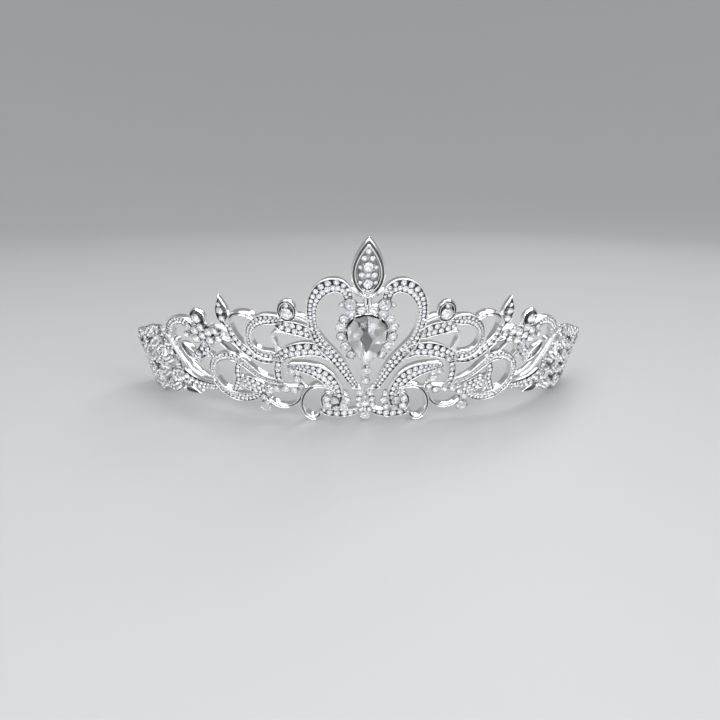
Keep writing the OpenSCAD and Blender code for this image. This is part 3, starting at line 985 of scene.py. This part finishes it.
@dataclass
class PearCentre:
    """The pear crystal, its cup, its claws and the halo of round stones."""

    height: float = 16.0
    width: float = 10.8
    middle: float = 28.5
    halo_r: float = 1.3
    halo_count: int = 14
    halo_gap: float = 1.75
    halo_first: float = 62.0
    facets: int = 12
    kite: tuple[tuple[float, float], ...] = (
        (0, 24.1), (1.6, 28.4), (-0.3, 32.0), (-1.9, 28.9), (0, 24.1),
    )

    def outline(self, angle: np.ndarray, grow: np.ndarray | float = 0.0) -> np.ndarray:
        """Points of the pear's outline, point down.

        s is (width + 2 grow) / 1.54 * sin a * sin(a / 2), and h is middle - (height / 2 + grow) cos a.

        Args:
            angle: Angles from the tip, in radians.
            grow: Distance outwards.

        Returns:
            Rows of (s, h).
        """
        s = (self.width + 2 * grow) / 1.54 * np.sin(angle) * np.sin(angle / 2)
        return np.stack([s, self.middle - (self.height / 2 + grow) * np.cos(angle)], -1)

    def halo(self) -> np.ndarray:
        """Places of the halo's stones."""
        places = self.outline(self.halo_angles(), self.halo_gap)
        return np.column_stack([places, np.full(self.halo_count, self.halo_r)])

    def halo_angles(self) -> np.ndarray:
        """Even angles from one side of the tip to the other."""
        first = math.radians(self.halo_first)
        return np.linspace(first, 2 * math.pi - first, self.halo_count)

    def crystal(self, bench: Bench) -> None:
        """Cuts the pear crystal.

        The table is a smaller outline, twelve crown facets lead down to the girdle, and below it twelve
        long facets run in to a kite-shaped flat. The back carries foil with painted shade: a dark foil on
        the kite and on two facet halves, and a half-dark foil on seven more facet halves.
        """
        girdle = BAND.face + 0.95
        corners = np.array(self.kite)
        index = np.arange(self.facets)
        share = index * (len(corners) - 1) / self.facets
        kite = np.stack([np.interp(share, np.arange(len(corners)), corners[:, k]) for k in (0, 1)], -1)
        centre = np.array([0, self.middle + 0.6])
        rings = [(kite, -1.9)]
        for grow, lift, turned in ((1.0, 0.0, 0.0), (1.0, 0.3, 0.0), (0.82, 1.2, 0.5), (0.66, 1.75, 0.0)):
            flat = self.outline((index + turned) * 2 * math.pi / self.facets)
            rings.append((centre + (flat - centre) * grow, lift))
        solid = tube_of(np.stack([BAND.place(*flat.T, girdle + lift) for flat, lift in rings]))
        clear, foil, shade, half = range(4)
        walls = (len(rings) - 1) * self.facets
        solid.paint[:] = clear
        solid.paint[: self.facets] = foil
        # painted shade on the kite
        solid.paint[walls : walls + self.facets] = shade
        quads = solid.faces[:walls]
        tris = np.concatenate([quads[:, [0, 1, 2]], quads[:, [0, 2, 3]]])
        paint = np.concatenate([solid.paint[:walls]] * 2)
        paint[[5, 6]] = shade  # painted shade on first halves of the long facets, counted from the tip
        # painted half shade on three more first halves
        paint[[1, 3, 10]] = half
        paint[np.add(walls, [2, 4, 6, 9])] = half  # painted half shade on second halves
        tris = np.column_stack([tris, np.full(len(tris), -1)])
        solid.faces = np.concatenate([tris, solid.faces[walls:]])
        solid.paint = np.concatenate([paint, solid.paint[walls:]])
        finishes = [bench.pear_glass, bench.foil, bench.shade, bench.half_shade]
        piece = to_object("pear_crystal_cut", solid, finishes, None)
        bench.fasten(piece, "pear_crystal")

    def build(self, bench: Bench) -> None:
        """Makes the centre's pieces."""
        edge = self.outline(circle(72), 0.75)
        cup = Plate(edge, (0, self.middle + 1), BAND.face + 0.75, BAND.face - 1.5, rim=0.1)
        bench.metal("pear_cup", [cup.build()], Finish.POLISHED, "pear_setting")
        self.crystal(bench)
        halo = self.halo()
        cups = Setter(5, 0.0).set(CUP, halo * [1, 1, 0.94], BAND.face + 0.75, 1.2)
        arms = []
        for angle in self.halo_angles():
            path = [(*self.outline(angle, grow), 0.9) for grow in (0.2, 2.2)]
            arms.append(Strip(path, Crown.ROUND, 0.3).metal(Side.RIGHT))
        bench.metal("halo_collets", [cups, *arms], Finish.POLISHED, "halo_cups")
        bench.stones("halo_rhinestones", halo * [1, 1, 0.98], BAND.face + 0.85, 12, "halo_stones")
        grip = np.radians([8, 62, 118, 152, 208, 242, 298, 352])
        claws = np.column_stack([self.outline(grip, 0.15), np.full(len(grip), 0.55)])
        small = ring_of(halo, 4, 0.98, 0.2)
        pins = Setter(6, 0.0).set(BEAD, claws, BAND.face + 1.3, 1.6)
        grains = Setter(7, 0.0).set(GRAIN, small, BAND.face + 0.95, 1.2)
        bench.metal("claws", [pins, grains], Finish.POLISHED, "pear_claws")


@dataclass
class Strip:
    """One ribbon of a casting.

    Attributes:
        path: Its (s, h, width) points on the right half.
        crown: Shape of its front.
        top: Where its highest point lies.
        rear: Where its back lies.
        rows: Rows of paved stones, none for bare metal.
        rails: Widths of a channel's left and right rail.
        bed: Where a channel's bed lies.
    """

    path: Path
    crown: Crown = Crown.CHANNEL
    top: float = BAND.proud
    rear: float = BAND.back
    rows: int = 0
    rails: tuple[float, float] = (0.42, 0.42)
    bed: float = 0.8

    def metal(self, side: Side) -> Solid:
        """The ribbon itself on one side."""
        rails = self.rails if side is Side.RIGHT else self.rails[::-1]
        return ribbon(Track(self.path, side), Section(self.crown, self.rear, self.top, rails, self.bed))

    def stones(self, side: Side) -> np.ndarray:
        """Places of its stones on one side."""
        rails = self.rails if side is Side.RIGHT else self.rails[::-1]
        return pave(Track(self.path, side), self.rows, rails)


def collets(places: np.ndarray, n: float, seed: int, turn: float = 0.4) -> list[Solid]:
    """Cups and four claws for round stones.

    Args:
        places: Rows of (s, h, radius).
        n: How far proud the stones' girdles are.
        seed: Seed of the cups' small tilts; the claws use the next one.
        turn: Angle of the first claw, in radians.

    Returns:
        The cups, and the claws.
    """
    cups = Setter(seed, 0.02).set(CUP, places, n - 0.1, 1.3)
    claws = ring_of(places, 4, 0.98, 0.2, turn)
    return [cups, Setter(seed + 1, 0.0).set(GRAIN, claws, n + 0.08, 1.2)]


@dataclass
class Casting:
    """A named casting made of strips and leaves, with paved and claw-set stones.

    Attributes:
        name: Name of the metal piece, without its side.
        node: CAD node that it stands for, without its side.
        strips: Its ribbons.
        leaves: Its leaf-shaped plates.
        settings: Claw-set stones as (s, h, radius).
        stone_node: CAD node that the claw-set stones stand for.
        stone_n: How far proud the claw-set stones' girdles are.
        finish: Cast or polished.
    """

    SEAT_LEAST = 1.12  # lowest girdle of a paved stone
    POINT = 0.82  # where the foiled point of a larger paved stone lies

    name: str
    node: str
    strips: list[Strip]
    leaves: list[Plate] = field(default_factory=list)
    settings: Places = field(default_factory=list)
    stone_node: str | None = None
    stone_n: float = BAND.proud + 0.1
    finish: Finish = Finish.CAST

    def build(self, bench: Bench, side: Side, seed: int) -> None:
        """Makes the casting's pieces on one side.

        Args:
            bench: Finishes and fastening.
            side: Which half.
            seed: Seed for the stones' small differences.
        """
        solids = [strip.metal(side) for strip in self.strips] + [plate.build(side) for plate in self.leaves]
        paved = [strip.stones(side) for strip in self.strips if strip.rows]
        if paved:
            stones = np.concatenate(paved)
            seat = np.maximum(self.SEAT_LEAST, self.POINT + Gem.DEEP * stones[:, 2])
            solids.append(Setter(seed, 0.0).set(GRAIN, self.grains(stones), np.repeat(seat, 2)))
        if self.settings:
            solids += collets(sided(self.settings, side), self.stone_n, seed + 1, 0.4 + seed)
        bench.metal(f"{self.name}_{side.tag}", solids, self.finish, f"{self.node}_{side.tag}")
        if paved:
            bench.stones(f"{self.name}_pave_{side.tag}", stones, seat, seed + 3)
        if self.settings and self.stone_node:
            name, node = f"{self.stone_node}_set_{side.tag}", f"{self.stone_node}_{side.tag}"
            bench.stones(name, sided(self.settings, side), self.stone_n, seed + 4, node)

    @staticmethod
    def grains(places: np.ndarray) -> np.ndarray:
        """Places of the small grains that hold paved stones: two beside each stone."""
        ring = ring_of(places, 2, 1.04, 0.24, 0.9)
        ring[:, 2] = np.clip(ring[:, 2], 0.14, 0.24)
        return ring


KEEL_ARM: Path = [(2.7, 12.6, 2.2), (1.6, 10.4, 2.6), (0.9, 8.6, 2.4)]
KEEL_STONES: Places = [
    (0, 2.5, 1.45), (0, 18.5, 1.4), (0, 14.9, 1.15), (1.45, 10.7, 1.1), (-1.45, 10.7, 1.1),
    (0, 9.2, 0.6), (1.95, 8.4, 0.95), (-1.95, 8.4, 0.95), (2.1, 6.3, 0.95), (-2.1, 6.3, 0.95),
    (1.2, 4.6, 0.8), (-1.2, 4.6, 0.8),
]


def keel(bench: Bench) -> None:
    """Makes the keel under the heart: a ring with a small hole, its foot and stones."""
    turn = np.linspace(math.pi / 2, 2.5 * math.pi, 13)
    ring = [(1.75 * math.cos(a), 7.0 + 1.75 * math.sin(a), 2.3) for a in turn]
    arms = [[(x * way, h, w) for x, h, w in KEEL_ARM] for way in (-1, 1)]
    foot = [(0, 5.6, 3.2), (0, 2.6, 3.6), (0, 0.9, 1.8)]
    stalk = [(0, 13.2, 2.4), (0, 16.8, 2.4), (0, 21.4, 2.4)]
    paths = [ring, *arms, foot, stalk]
    wires = [Strip(path, Crown.ROUND, BAND.face).metal(Side.RIGHT) for path in paths]
    stones, n = np.array(KEEL_STONES), BAND.proud + 0.1
    bench.metal("keel_cast", [*wires, *collets(stones, n, 21)], Finish.CAST, "keel_frame")
    bench.stones("keel_rhinestones", stones, n, 23, "keel_stones")


HEART: Path = [
    (4.4, 38.4, 2.4), (4.7, 41, 2.8), (5.4, 43.6, 3.3), (7.6, 45.3, 4), (10.2, 45, 4.3),
    (12.5, 43.2, 4), (14, 40.4, 3.4), (14.6, 37.2, 3), (14.5, 33.8, 2.9), (13.9, 30.6, 3.1),
    (12.5, 27.5, 3.5), (10.4, 24.6, 3.8), (8.1, 21.7, 3.8), (6.1, 18.4, 3.5), (4.3, 15, 3.1),
    (2.8, 12.2, 2.6),
]


def castings() -> list[Casting]:
    """All castings that come in a left and a right."""
    twin, rounded = Crown.TWIN, Crown.ROUND
    bead, proud, face = BAND.bead, BAND.proud, BAND.face
    drop = (21, 37.4) + (2.7, 3.5) * np.stack([np.cos(circle(40)), np.sin(circle(40))], -1)
    flower = (47.6, 27.2) + ring_of([(0, 0, 2.7)], 6, 1, 1, math.radians(30))[:, :2]
    return [
        Casting(
            "heart_lobe_ribbon", "heart_lobe",
            [
                Strip(HEART, top=bead - 0.3, rows=2, rails=(0.5, 0.26)),
                Strip([(4.4, 39.8, 1.4), (6.6, 39.7, 1.0)], rounded, face),
            ],
            settings=[(4.4, 39.8, 1.75), (6.7, 39.7, 0.65)], stone_node="lobe_stones", stone_n=bead - 0.2,
        ),
        Casting(
            "foot_scroll_cast", "foot_scroll",
            [Strip(
                [
                    (1.4, 4.6, 1.2), (3.4, 3.5, 2.2), (6.4, 2.9, 2.6), (9, 2.9, 2.8), (11.6, 3.2, 2.4),
                    (13.4, 4.2, 1.6),
                ],
                rows=1, rails=(0.25, 0.25),
            )],
        ),
        Casting(
            "lower_scroll_cast", "lower_scroll",
            [
                Strip(
                    [
                        (22.4, 19.4, 2.2), (19.4, 19.2, 3.2), (16.3, 18.7, 4.2), (13.4, 17.6, 4.8),
                        (11, 15.8, 4.9), (9.3, 13.4, 4.5), (8.3, 10.8, 4.2), (8.2, 8.2, 4),
                        (8.8, 5.6, 3.4), (9.4, 3.4, 2.6),
                    ],
                    top=bead - 0.3, rows=2, rails=(0.3, 1.0),
                ),
                Strip(
                    [
                        (8.6, 9.4, 1.2), (9.8, 10.6, 1.3), (11.6, 10.2, 1.3), (12.9, 8.4, 1.3),
                        (12.9, 6.2, 1.3), (11.8, 4, 1.3),
                    ],
                    twin, proud,
                ),
            ],
            settings=[
                (6.0, 10.4, 1.05), (5.5, 7.9, 1.2), (6.3, 5.5, 1.1), (8.6, 4.9, 1.1),
                (9.2, 7.7, 1.35), (11.6, 8.2, 1.1), (11.4, 5.7, 1.2), (13.4, 3.4, 0.6),
            ],
            stone_node="scroll_stones", stone_n=proud + 0.1, finish=Finish.POLISHED,
        ),
        Casting(
            "hanging_loop_wire", "hanging_loop",
            [Strip(
                [
                    (9.6, 12.2, 1.2), (13.2, 12.9, 1.4), (15.8, 12.2, 1.5), (17.8, 10, 1.5),
                    (18.9, 7, 1.5), (18.8, 4, 1.7), (17.6, 1.8, 1.9), (15.9, 0.95, 1.9),
                    (14.3, 1.7, 1.7), (13.6, 3.4, 1.2),
                ],
                twin, bead,
            )],
            finish=Finish.POLISHED,
        ),
        Casting(
            "wing_ribbon_cast", "wing_ribbon",
            [Strip(
                [
                    (10.2, 22.8, 3.2), (13.2, 24.8, 4.2), (16.8, 25.1, 4.8), (20.4, 24.3, 4.6),
                    (23.6, 22.8, 3.9), (26.2, 21.4, 3),
                ],
                rows=2, rails=(0.4, 0.5),
            )],
        ),
        Casting(
            "shoulder_ribbon_cast", "shoulder_ribbon",
            [
                Strip([(14.2, 29.4, 3), (17.6, 31.2, 4.2), (21, 32, 4.3), (24.6, 33.2, 3.6)], rows=2),
                Strip([(15, 33.8, 1.3), (17.2, 35.2, 1.8), (19.4, 36, 1.6)], twin),
                Strip([(21.2, 31.4, 2.2), (21.2, 34.4, 2.4)], rounded, face),
            ],
        ),
        Casting(
            "volute_cast", "volute",
            [
                Strip(
                    [
                        (22.8, 34.4, 2.4), (25.4, 34.4, 3.4), (28.4, 34.1, 3.6), (31, 32.6, 3.3),
                        (32.7, 30, 2.7), (33.1, 27.2, 2.5), (32.3, 24.8, 2.7), (30.3, 23, 3.2),
                        (27.6, 22.4, 3.6), (25.2, 22.9, 3),
                    ],
                    top=bead - 0.3, rows=2, rails=(0.7, 0.4),
                ),
                Strip(
                    [
                        (24.9, 23.6, 1.8), (25.5, 26.8, 1.4), (26, 28.8, 1.2), (25.2, 30.3, 1.1),
                        (23.4, 30.4, 1.1), (22, 30, 1.1),
                    ],
                    rounded, proud,
                ),
            ],
            finish=Finish.CAST,
        ),
        Casting(
            "drop_setting_cast", "drop_setting", [],
            leaves=[Plate(drop, (21, 37.2), bead, face - 0.1, groove=True, rear=-0.4)],
            settings=[
                (21.1, 36.6, 1.75), (21, 39.1, 0.7), (39.9, 36.2, 1.0), (39.7, 33.8, 0.95),
                (39.9, 38.2, 0.6),
            ],
            stone_node="crest_stones", stone_n=bead - 0.15, finish=Finish.POLISHED,
        ),
        Casting(
            "hook_wire_bent", "hook_wire",
            [
                Strip(
                    [
                        (30.4, 34.3, 1.4), (32.2, 35.4, 1.8), (34.3, 35.8, 1.6), (36.6, 35.1, 1.6),
                        (38, 33.2, 1.5), (38.4, 31.4, 1.6),
                    ],
                    twin, bead,
                ),
                Strip(
                    [
                        (38.3, 32.2, 1.6), (38.3, 30.6, 1.9), (37.6, 28, 2.2), (36.2, 25.6, 2.4),
                        (34.2, 23.5, 2.4), (31.6, 21.6, 2.2), (28.8, 20.6, 1.9), (26.2, 20.8, 1.5),
                    ],
                    top=proud + 0.05, rows=1, rails=(0.24, 0.24),
                ),
                Strip([(38.4, 28.8, 2), (39.2, 30.4, 2.2), (39.6, 32.6, 2.4)], rounded, face),
            ],
            finish=Finish.POLISHED,
        ),
        Casting(
            "flame_leaf_cast", "flame_leaf", [],
            leaves=[leaf((39.6, 30.6), (39.9, 40.9), 4.3, rim=0.2, rear=-0.4)], finish=Finish.POLISHED,
        ),
        Casting(
            "s_ribbon_cast", "s_ribbon",
            [
                Strip(
                    [
                        (24.2, 13, 1.8), (27, 13.5, 1.9), (30, 14.3, 2), (32.7, 16, 2.2),
                        (35.2, 18.4, 2.5), (38, 20.4, 2.9), (41.2, 20.8, 3), (44.2, 19.7, 2.9),
                        (46.4, 17.3, 2.6), (47.2, 14.4, 2.4), (46.6, 11.2, 2.4), (44.6, 8.4, 2.6),
                        (41.6, 6.8, 3), (38.2, 6.4, 3.2), (34.8, 7, 3), (32, 8.6, 2.6),
                    ],
                    rows=2, rails=(0.34, 0.34),
                ),
                Strip([
                    (37.2, 19.4, 2.2), (38.4, 15.8, 2.4), (38.4, 13, 2.4), (39.6, 10.4, 2.2),
                    (41, 7.4, 2),
                ], rows=1, top=proud - 0.1),
                Strip([
                    (29.6, 9.2, 4), (32.4, 10.6, 5), (35.6, 12, 5), (38.2, 13, 3),
                ], rows=3, top=proud - 0.2, rails=(0.3, 0.3)),
            ],
        ),
        Casting(
            "branch_cast", "branch",
            [
                Strip([(24.6, 21.8, 2.4), (25.3, 18.6, 2.6), (25.5, 15.6, 2.6), (25, 11.6, 2.4)], rows=1),
                Strip(
                    [
                        (17.2, 11.4, 1.8), (20.2, 11.2, 2.4), (23.2, 11, 2.4), (26.4, 11, 2.4),
                        (29.2, 9.4, 2.6), (31, 6.8, 2.8), (30.4, 3.2, 3),
                    ],
                    rounded, face + 0.1,
                ),
                Strip([
                    (22.6, 19.4, 2.2), (20.8, 17, 2.4), (19.8, 14.6, 2.4), (18.6, 12, 2),
                ], rounded, face + 0.1),
            ],
            settings=[
                (19.9, 15, 1.2), (21.4, 17.6, 1.1), (18.8, 12.2, 0.95), (21, 10.9, 1.1),
                (23.7, 11.1, 1.1), (26.4, 11.0, 1.1), (28.9, 9.6, 1.1), (30.9, 7.5, 1.1),
                (30.5, 4.3, 1.8), (23.6, 21.4, 0.9), (25.2, 18.2, 0.9),
            ],
            stone_node="branch_stones",
        ),
        Casting(
            "smile_loop_wire", "smile_loop",
            [Strip(
                [
                    (18.6, 9.6, 1.3), (20.4, 6.4, 1.5), (22.8, 4.8, 1.6), (25.6, 4.4, 1.6),
                    (27.8, 5.2, 1.5), (29.4, 6.8, 1.3),
                ],
                twin,
            )],
            finish=Finish.POLISHED,
        ),
        Casting(
            "flower_plate_cast", "flower_plate",
            [
                Strip(
                    [
                        (38.2, 27.4, 3), (41.4, 27.6, 5.4), (44.6, 27.4, 7), (48.2, 27, 7),
                        (51.2, 27.2, 6), (53.6, 29.6, 4),
                    ],
                    rounded, face - 0.2,
                ),
                Strip([(46.6, 25, 4.4), (48.8, 21.6, 4), (51.4, 19.6, 3.6), (53, 17.4, 2)], rows=2),
                Strip([(48, 21.4, 2), (46.4, 19.4, 2), (45.6, 17.8, 2)], rows=1, top=face + 0.2),
            ],
            leaves=[
                leaf((36, 22.2), (43.4, 27.2), 3.6, rim=0.2),
                leaf((47.7, 29), (48.6, 36), 5.4, 0.6, 0.65, rim=0.16, rear=-0.4),
                leaf((57.4, 23.4), (51.2, 16.6), 3.6, rim=0.2),
            ],
            settings=[
                (47.6, 27.2, 1.2), (48.4, 32.8, 1.5),
                *[(s, h, 1.3) for s, h in flower],
                (43.2, 29.2, 1.1), (42.2, 26.6, 1.1), (40.2, 28.6, 0.95), (51.9, 29.4, 1.1),
                (53.4, 26.8, 1.0), (50.6, 20.8, 0.9),
            ],
            stone_node="flower_stones", stone_n=proud + 0.2,
        ),
        Casting(
            "arch_scroll_cast", "arch_scroll",
            [
                Strip(
                    [
                        (50.6, 29.8, 2.4), (53.8, 31, 3), (56.8, 30.9, 3), (59.6, 29.2, 2.8),
                        (61.3, 26.6, 2.5), (61.3, 23.6, 2.2),
                    ],
                    top=bead - 0.3, rows=2, rails=(0.5, 0.3),
                ),
                Strip(
                    [
                        (61.5, 25.4, 1.9), (61.3, 23.6, 2.2), (60, 20.4, 2.1), (58.2, 17.4, 2.2),
                        (56, 14.8, 2.2), (53, 12.7, 2), (49.8, 11.7, 1.8), (46.4, 11.6, 1.6),
                    ],
                    rounded, bead,
                ),
            ],
            finish=Finish.POLISHED,
        ),
    ]


@dataclass
class EndPanel:
    """The paved panel at the end of each wing, and its post."""

    wing: float = 88.0
    top: float = 20.0
    start: float = 60.0
    bands: int = 5
    sway: float = 0.85
    wave: float = 9.5

    def middle(self, i: int, s: np.ndarray) -> np.ndarray:
        """Height of band i at s.

        A share u counts the bands from the top. The height goes evenly from the band's start to
        its finish, bows by 1.6 sin(pi v) (0.4 - u), and sways by a sine whose sign changes from
        one band to the next, so that neighbours touch and part by turns.

        Args:
            i: Band, from 0 at the top.
            s: Lengths along the foot.

        Returns:
            Heights.
        """
        u, v = i / (self.bands - 1), (s - self.start) / (self.wing - self.start)
        start, finish = 26.6 - 19.6 * u, self.top - 1 - (self.top - 3) * u
        h = start * (1 - v) + finish * v + 1.6 * np.sin(math.pi * v) * (0.4 - u)
        sway = self.sway * np.clip(4 * v, 0, 1) * np.clip(4 * (1 - v), 0, 1)
        return h + (-1) ** i * sway * np.sin(2 * math.pi * (s - self.start) / self.wave)

    def band_path(self, i: int) -> Path:
        """Path of one band, with points every two millimetres or so."""
        s = np.linspace(self.start, self.wing, 15)
        return list(zip(s, self.middle(i, s), 3.5 - 0.5 * (s - self.start) / (self.wing - self.start)))

    def knots(self) -> Places:
        """Places where neighbouring bands touch, each for one larger stone."""
        found = []
        for i in range(self.bands - 1):
            first = self.start + self.wave * (0.75 if i % 2 == 0 else 0.25)
            for s in np.arange(first, self.wing - 2.5, self.wave):
                upper, lower = self.middle(i, s), self.middle(i + 1, s)
                found.append((float(s), float(upper + lower) / 2, 1.3))
        return found

    def build(self, bench: Bench, side: Side, seed: int) -> None:
        """Makes the panel's pieces on one side."""
        strips = []
        for i in range(self.bands):
            top = BAND.proud if i % 2 == 0 else BAND.face + 0.4
            strips.append(Strip(self.band_path(i), rows=2, top=top, rails=(0.22, 0.22)))
        post = [(0, 0.13, 2.6), (0.6, 7, 2.8), (0.4, 14, 2.8), (-0.2, self.top, 2.6)]
        path = [(self.wing + s, h, w) for s, h, w in post]
        strips.append(Strip(path, rows=1, top=BAND.proud - 0.1, rails=(0.3, 0.3)))
        for x in (64, 70, 76, 82):
            v = (x - self.start) / (self.wing - self.start)
            path = [(x - 2, 5.6 - 2.6 * v, 2.4), (x, 13, 2.8), (x - 1, 24 - 6.4 * v, 2.4)]
            strips.append(Strip(path, Crown.ROUND, BAND.face - 0.3))
        strips += [
            Strip([
                (46, 8.6, 2.6), (50, 8.4, 3.2), (54, 8.4, 4), (58, 9.4, 5), (62, 12, 5),
            ], rows=2, top=BAND.face + 0.2),
            Strip([(59.6, 24, 2), (61, 17, 3), (62, 9, 3)], rows=2, top=BAND.face + 0.1),
        ]
        crest = [
            (63.0, 26.9, 1.2), (66.2, 26.6, 1.15), (69.4, 25.7, 1.15),
            (84.4, 19.9, 1.15), (86.6, 18.6, 1.25), (87.0, 15.9, 1.1),
        ]
        panel = Casting(
            "end_panel_cast", "end_panel", strips, [leaf((63.4, 6.6), (54, 5), 3.2, rim=0.2)],
            settings=[*self.knots(), *crest], stone_node="end_stones",
        )
        panel.build(bench, side, seed)


@dataclass
class Backing:
    """The stiffening wire behind the lower edge, and the hair-pin loops."""

    AROUND, SIDES, SQUARE = 48, 20, 0.5

    wire: float = 1.3
    wing: float = 88.0
    loop_s: float = 91.9
    loop_h: float = 11.0
    loop_r: float = 2.5
    bore_r: float = 1.3
    loop_t: float = 1.6

    def rail(self, bench: Bench, side: Side) -> None:
        """Bends the wire: a circle carried along its path."""
        n = BAND.back - self.wire * 0.35
        heights = {31: 6.4, 38: 6.4, 46: 8.4, 54: 7.6, 62: 6.4, 72: 4.4, 82: 3, self.wing: 2.6}
        track = Track([(s, h, n) for s, h in heights.items()], side)
        turn = circle(14)
        x = np.cos(turn) * self.wire / 2
        s = track.flat[:, :1] + track.heading[:, 1:] * x
        h = track.flat[:, 1:2] - track.heading[:, :1] * x
        solid = tube_of(BAND.place(s, h, track.flat[:, 2:] + np.sin(turn) * self.wire / 2))
        bench.metal(f"side_rail_wire_{side.tag}", [solid], Finish.POLISHED, f"side_rail_{side.tag}")

    def loop(self, bench: Bench, side: Side) -> None:
        """Turns the hair-pin loop: a rounded oblong carried round a circle in the tangent plane.

        A point of the oblong at angle b lies half its width times cos b from the loop's mean
        radius, and half its thickness times sin b out of the plane; both shares are raised to the
        power SQUARE, which fills out the corners.
        """
        s = np.array([side.value * self.loop_s])
        along, up, out = BAND.axes(s)[0]
        centre = BAND.place(s, np.array([self.loop_h]), np.zeros(1))[0]
        mean, half = (self.loop_r + self.bore_r) / 2, (self.loop_r - self.bore_r) / 2
        a, b = circle(self.AROUND), circle(self.SIDES)
        reach = mean + half * np.sign(np.cos(b)) * np.abs(np.cos(b)) ** self.SQUARE
        rise = self.loop_t / 2 * np.sign(np.sin(b)) * np.abs(np.sin(b)) ** self.SQUARE
        flat = np.cos(a)[:, None, None] * along + np.sin(a)[:, None, None] * up
        points = centre + MM * (reach[None, :, None] * flat + rise[None, :, None] * out)
        faces = skin(self.AROUND, self.SIDES, closed=True)
        count = self.AROUND * self.SIDES
        ring = Solid(points.reshape(-1, 3), faces, np.zeros(count, int), np.zeros(count))
        bench.metal(f"pin_loop_ring_{side.tag}", [ring.outward()], Finish.POLISHED, f"pin_loop_{side.tag}")


# ---- light, floor and camera ---------------------------------------------------------------


@dataclass
class Studio:
    """Pale sweep, soft lights and the camera."""

    eye: tuple[float, float, float] = (-0.0076, -0.1742, 0.0695)
    pitch: float = 17.37
    yaw: float = -2.14
    roll: float = 0.47
    lens: float = 27.56

    def build(self) -> None:
        """Sets up the studio."""
        self.sweep()
        self.lights()
        self.camera()

    def sweep(self) -> None:
        """A round floor that turns up into a wall on all sides: flat, a quarter circle, then upright."""
        radius, flat, rim, sides = 1.1, 0.8, 1.7, 96
        turn = np.linspace(0, math.pi / 2, 24)
        reach = np.concatenate([flat + radius * np.sin(turn), [flat + radius]])
        rise = np.concatenate([radius * (1 - np.cos(turn)), [rim]])
        rings = [ring_at(circle(sides), r, z) for r, z in zip(reach, rise)]
        verts = np.concatenate([*rings, [[0, 0, 0]]]).tolist()
        quads = skin(len(rise), sides)[:, [0, 3, 2, 1]]
        edge = np.arange(sides)
        fan = np.stack([edge, (edge + 1) % sides, np.full(sides, len(verts) - 1)], -1)
        faces = quads.tolist() + fan.tolist()
        mesh = bpy.data.meshes.new("sweep")
        mesh.from_pydata(verts, [], faces)
        mesh.polygons.foreach_set("use_smooth", np.full(len(faces), True))
        floor = bpy.data.objects.new("sweep", mesh)
        bpy.context.scene.collection.objects.link(floor)
        paper = Tree("pale paper", {"Base Color": (0.52, 0.522, 0.53, 1), "Roughness": 0.55})
        mesh.materials.append(paper.material)

    def lights(self) -> None:
        """Soft boxes round the piece, and a dim grey surround."""
        boxes = {  # place, size and power
            "key": ((-0.42, -0.5, 0.5), (0.32, 0.7), 2.6),
            "fill": ((0.52, -0.45, 0.42), (0.3, 0.7), 1.9),
            "front": ((0.04, -0.62, 0.45), (0.6, 0.2), 1.3),
            "low": ((0.0, -0.7, 0.06), (0.9, 0.05), 0.5),
            "top": ((0.0, 0.1, 1.5), (1.4, 1.4), 3.0),
            "rim": ((0.3, 0.5, 0.6), (0.25, 0.25), 1.0),
            "backdrop": ((0.0, 0.4, 2.1), (2.2, 1.6), 12.0),
            "spark left": ((-0.16, -0.6, 0.2), (0.03, 0.03), 0.3),
            "spark right": ((0.22, -0.55, 0.24), (0.03, 0.03), 0.3),
        }
        for name, (place, size, power) in boxes.items():
            data = bpy.data.lights.new(name, "AREA")
            data.shape = "RECTANGLE"
            data.size, data.size_y = size
            data.energy = power
            lamp = bpy.data.objects.new(name, data)
            lamp.location = place
            aim = Vector((0, 0, 0.02)) - Vector(place)
            lamp.rotation_euler = aim.to_track_quat("-Z", "Y").to_euler()
            bpy.context.scene.collection.objects.link(lamp)
        world = bpy.data.worlds.new("surround")
        world.use_nodes = True
        world.node_tree.nodes["Background"].inputs["Color"].default_value = (0.36, 0.362, 0.368, 1)
        bpy.context.scene.world = world
        bpy.context.scene.view_settings.view_transform = "Standard"

    def camera(self) -> None:
        """Places the camera in front, looking slightly down."""
        data = bpy.data.cameras.new("camera")
        data.lens = self.lens
        data.sensor_width = 36.0
        camera = bpy.data.objects.new("camera", data)
        turn = Matrix.Rotation(math.radians(self.yaw), 4, "Z")
        tip = Matrix.Rotation(math.radians(90 - self.pitch), 4, "X")
        bank = Matrix.Rotation(math.radians(self.roll), 4, "Z")
        camera.matrix_world = Matrix.Translation(self.eye) @ turn @ tip @ bank
        data.clip_start = 0.005
        bpy.context.scene.collection.objects.link(camera)
        bpy.context.scene.camera = camera


# ---- making it -----------------------------------------------------------------------------


PANEL_SEED, CASTING_SEED, SEED_STEP, LEFT_SEED = 60, 100, 20, 500


def main() -> None:
    logging.basicConfig(level=logging.INFO, format="%(name)s: %(message)s", stream=sys.stdout)
    Studio().build()
    bench = Bench()
    Finial().build(bench)
    PearCentre().build(bench)
    keel(bench)
    for side in Side:
        first = LEFT_SEED * (side is Side.LEFT)
        for index, casting in enumerate(castings()):
            casting.build(bench, side, CASTING_SEED + SEED_STEP * index + first)
        EndPanel().build(bench, side, PANEL_SEED + first)
        Backing().rail(bench, side)
        Backing().loop(bench, side)
    LOG.info("%d pieces", bench.made)


if __name__ == "__main__":
    main()
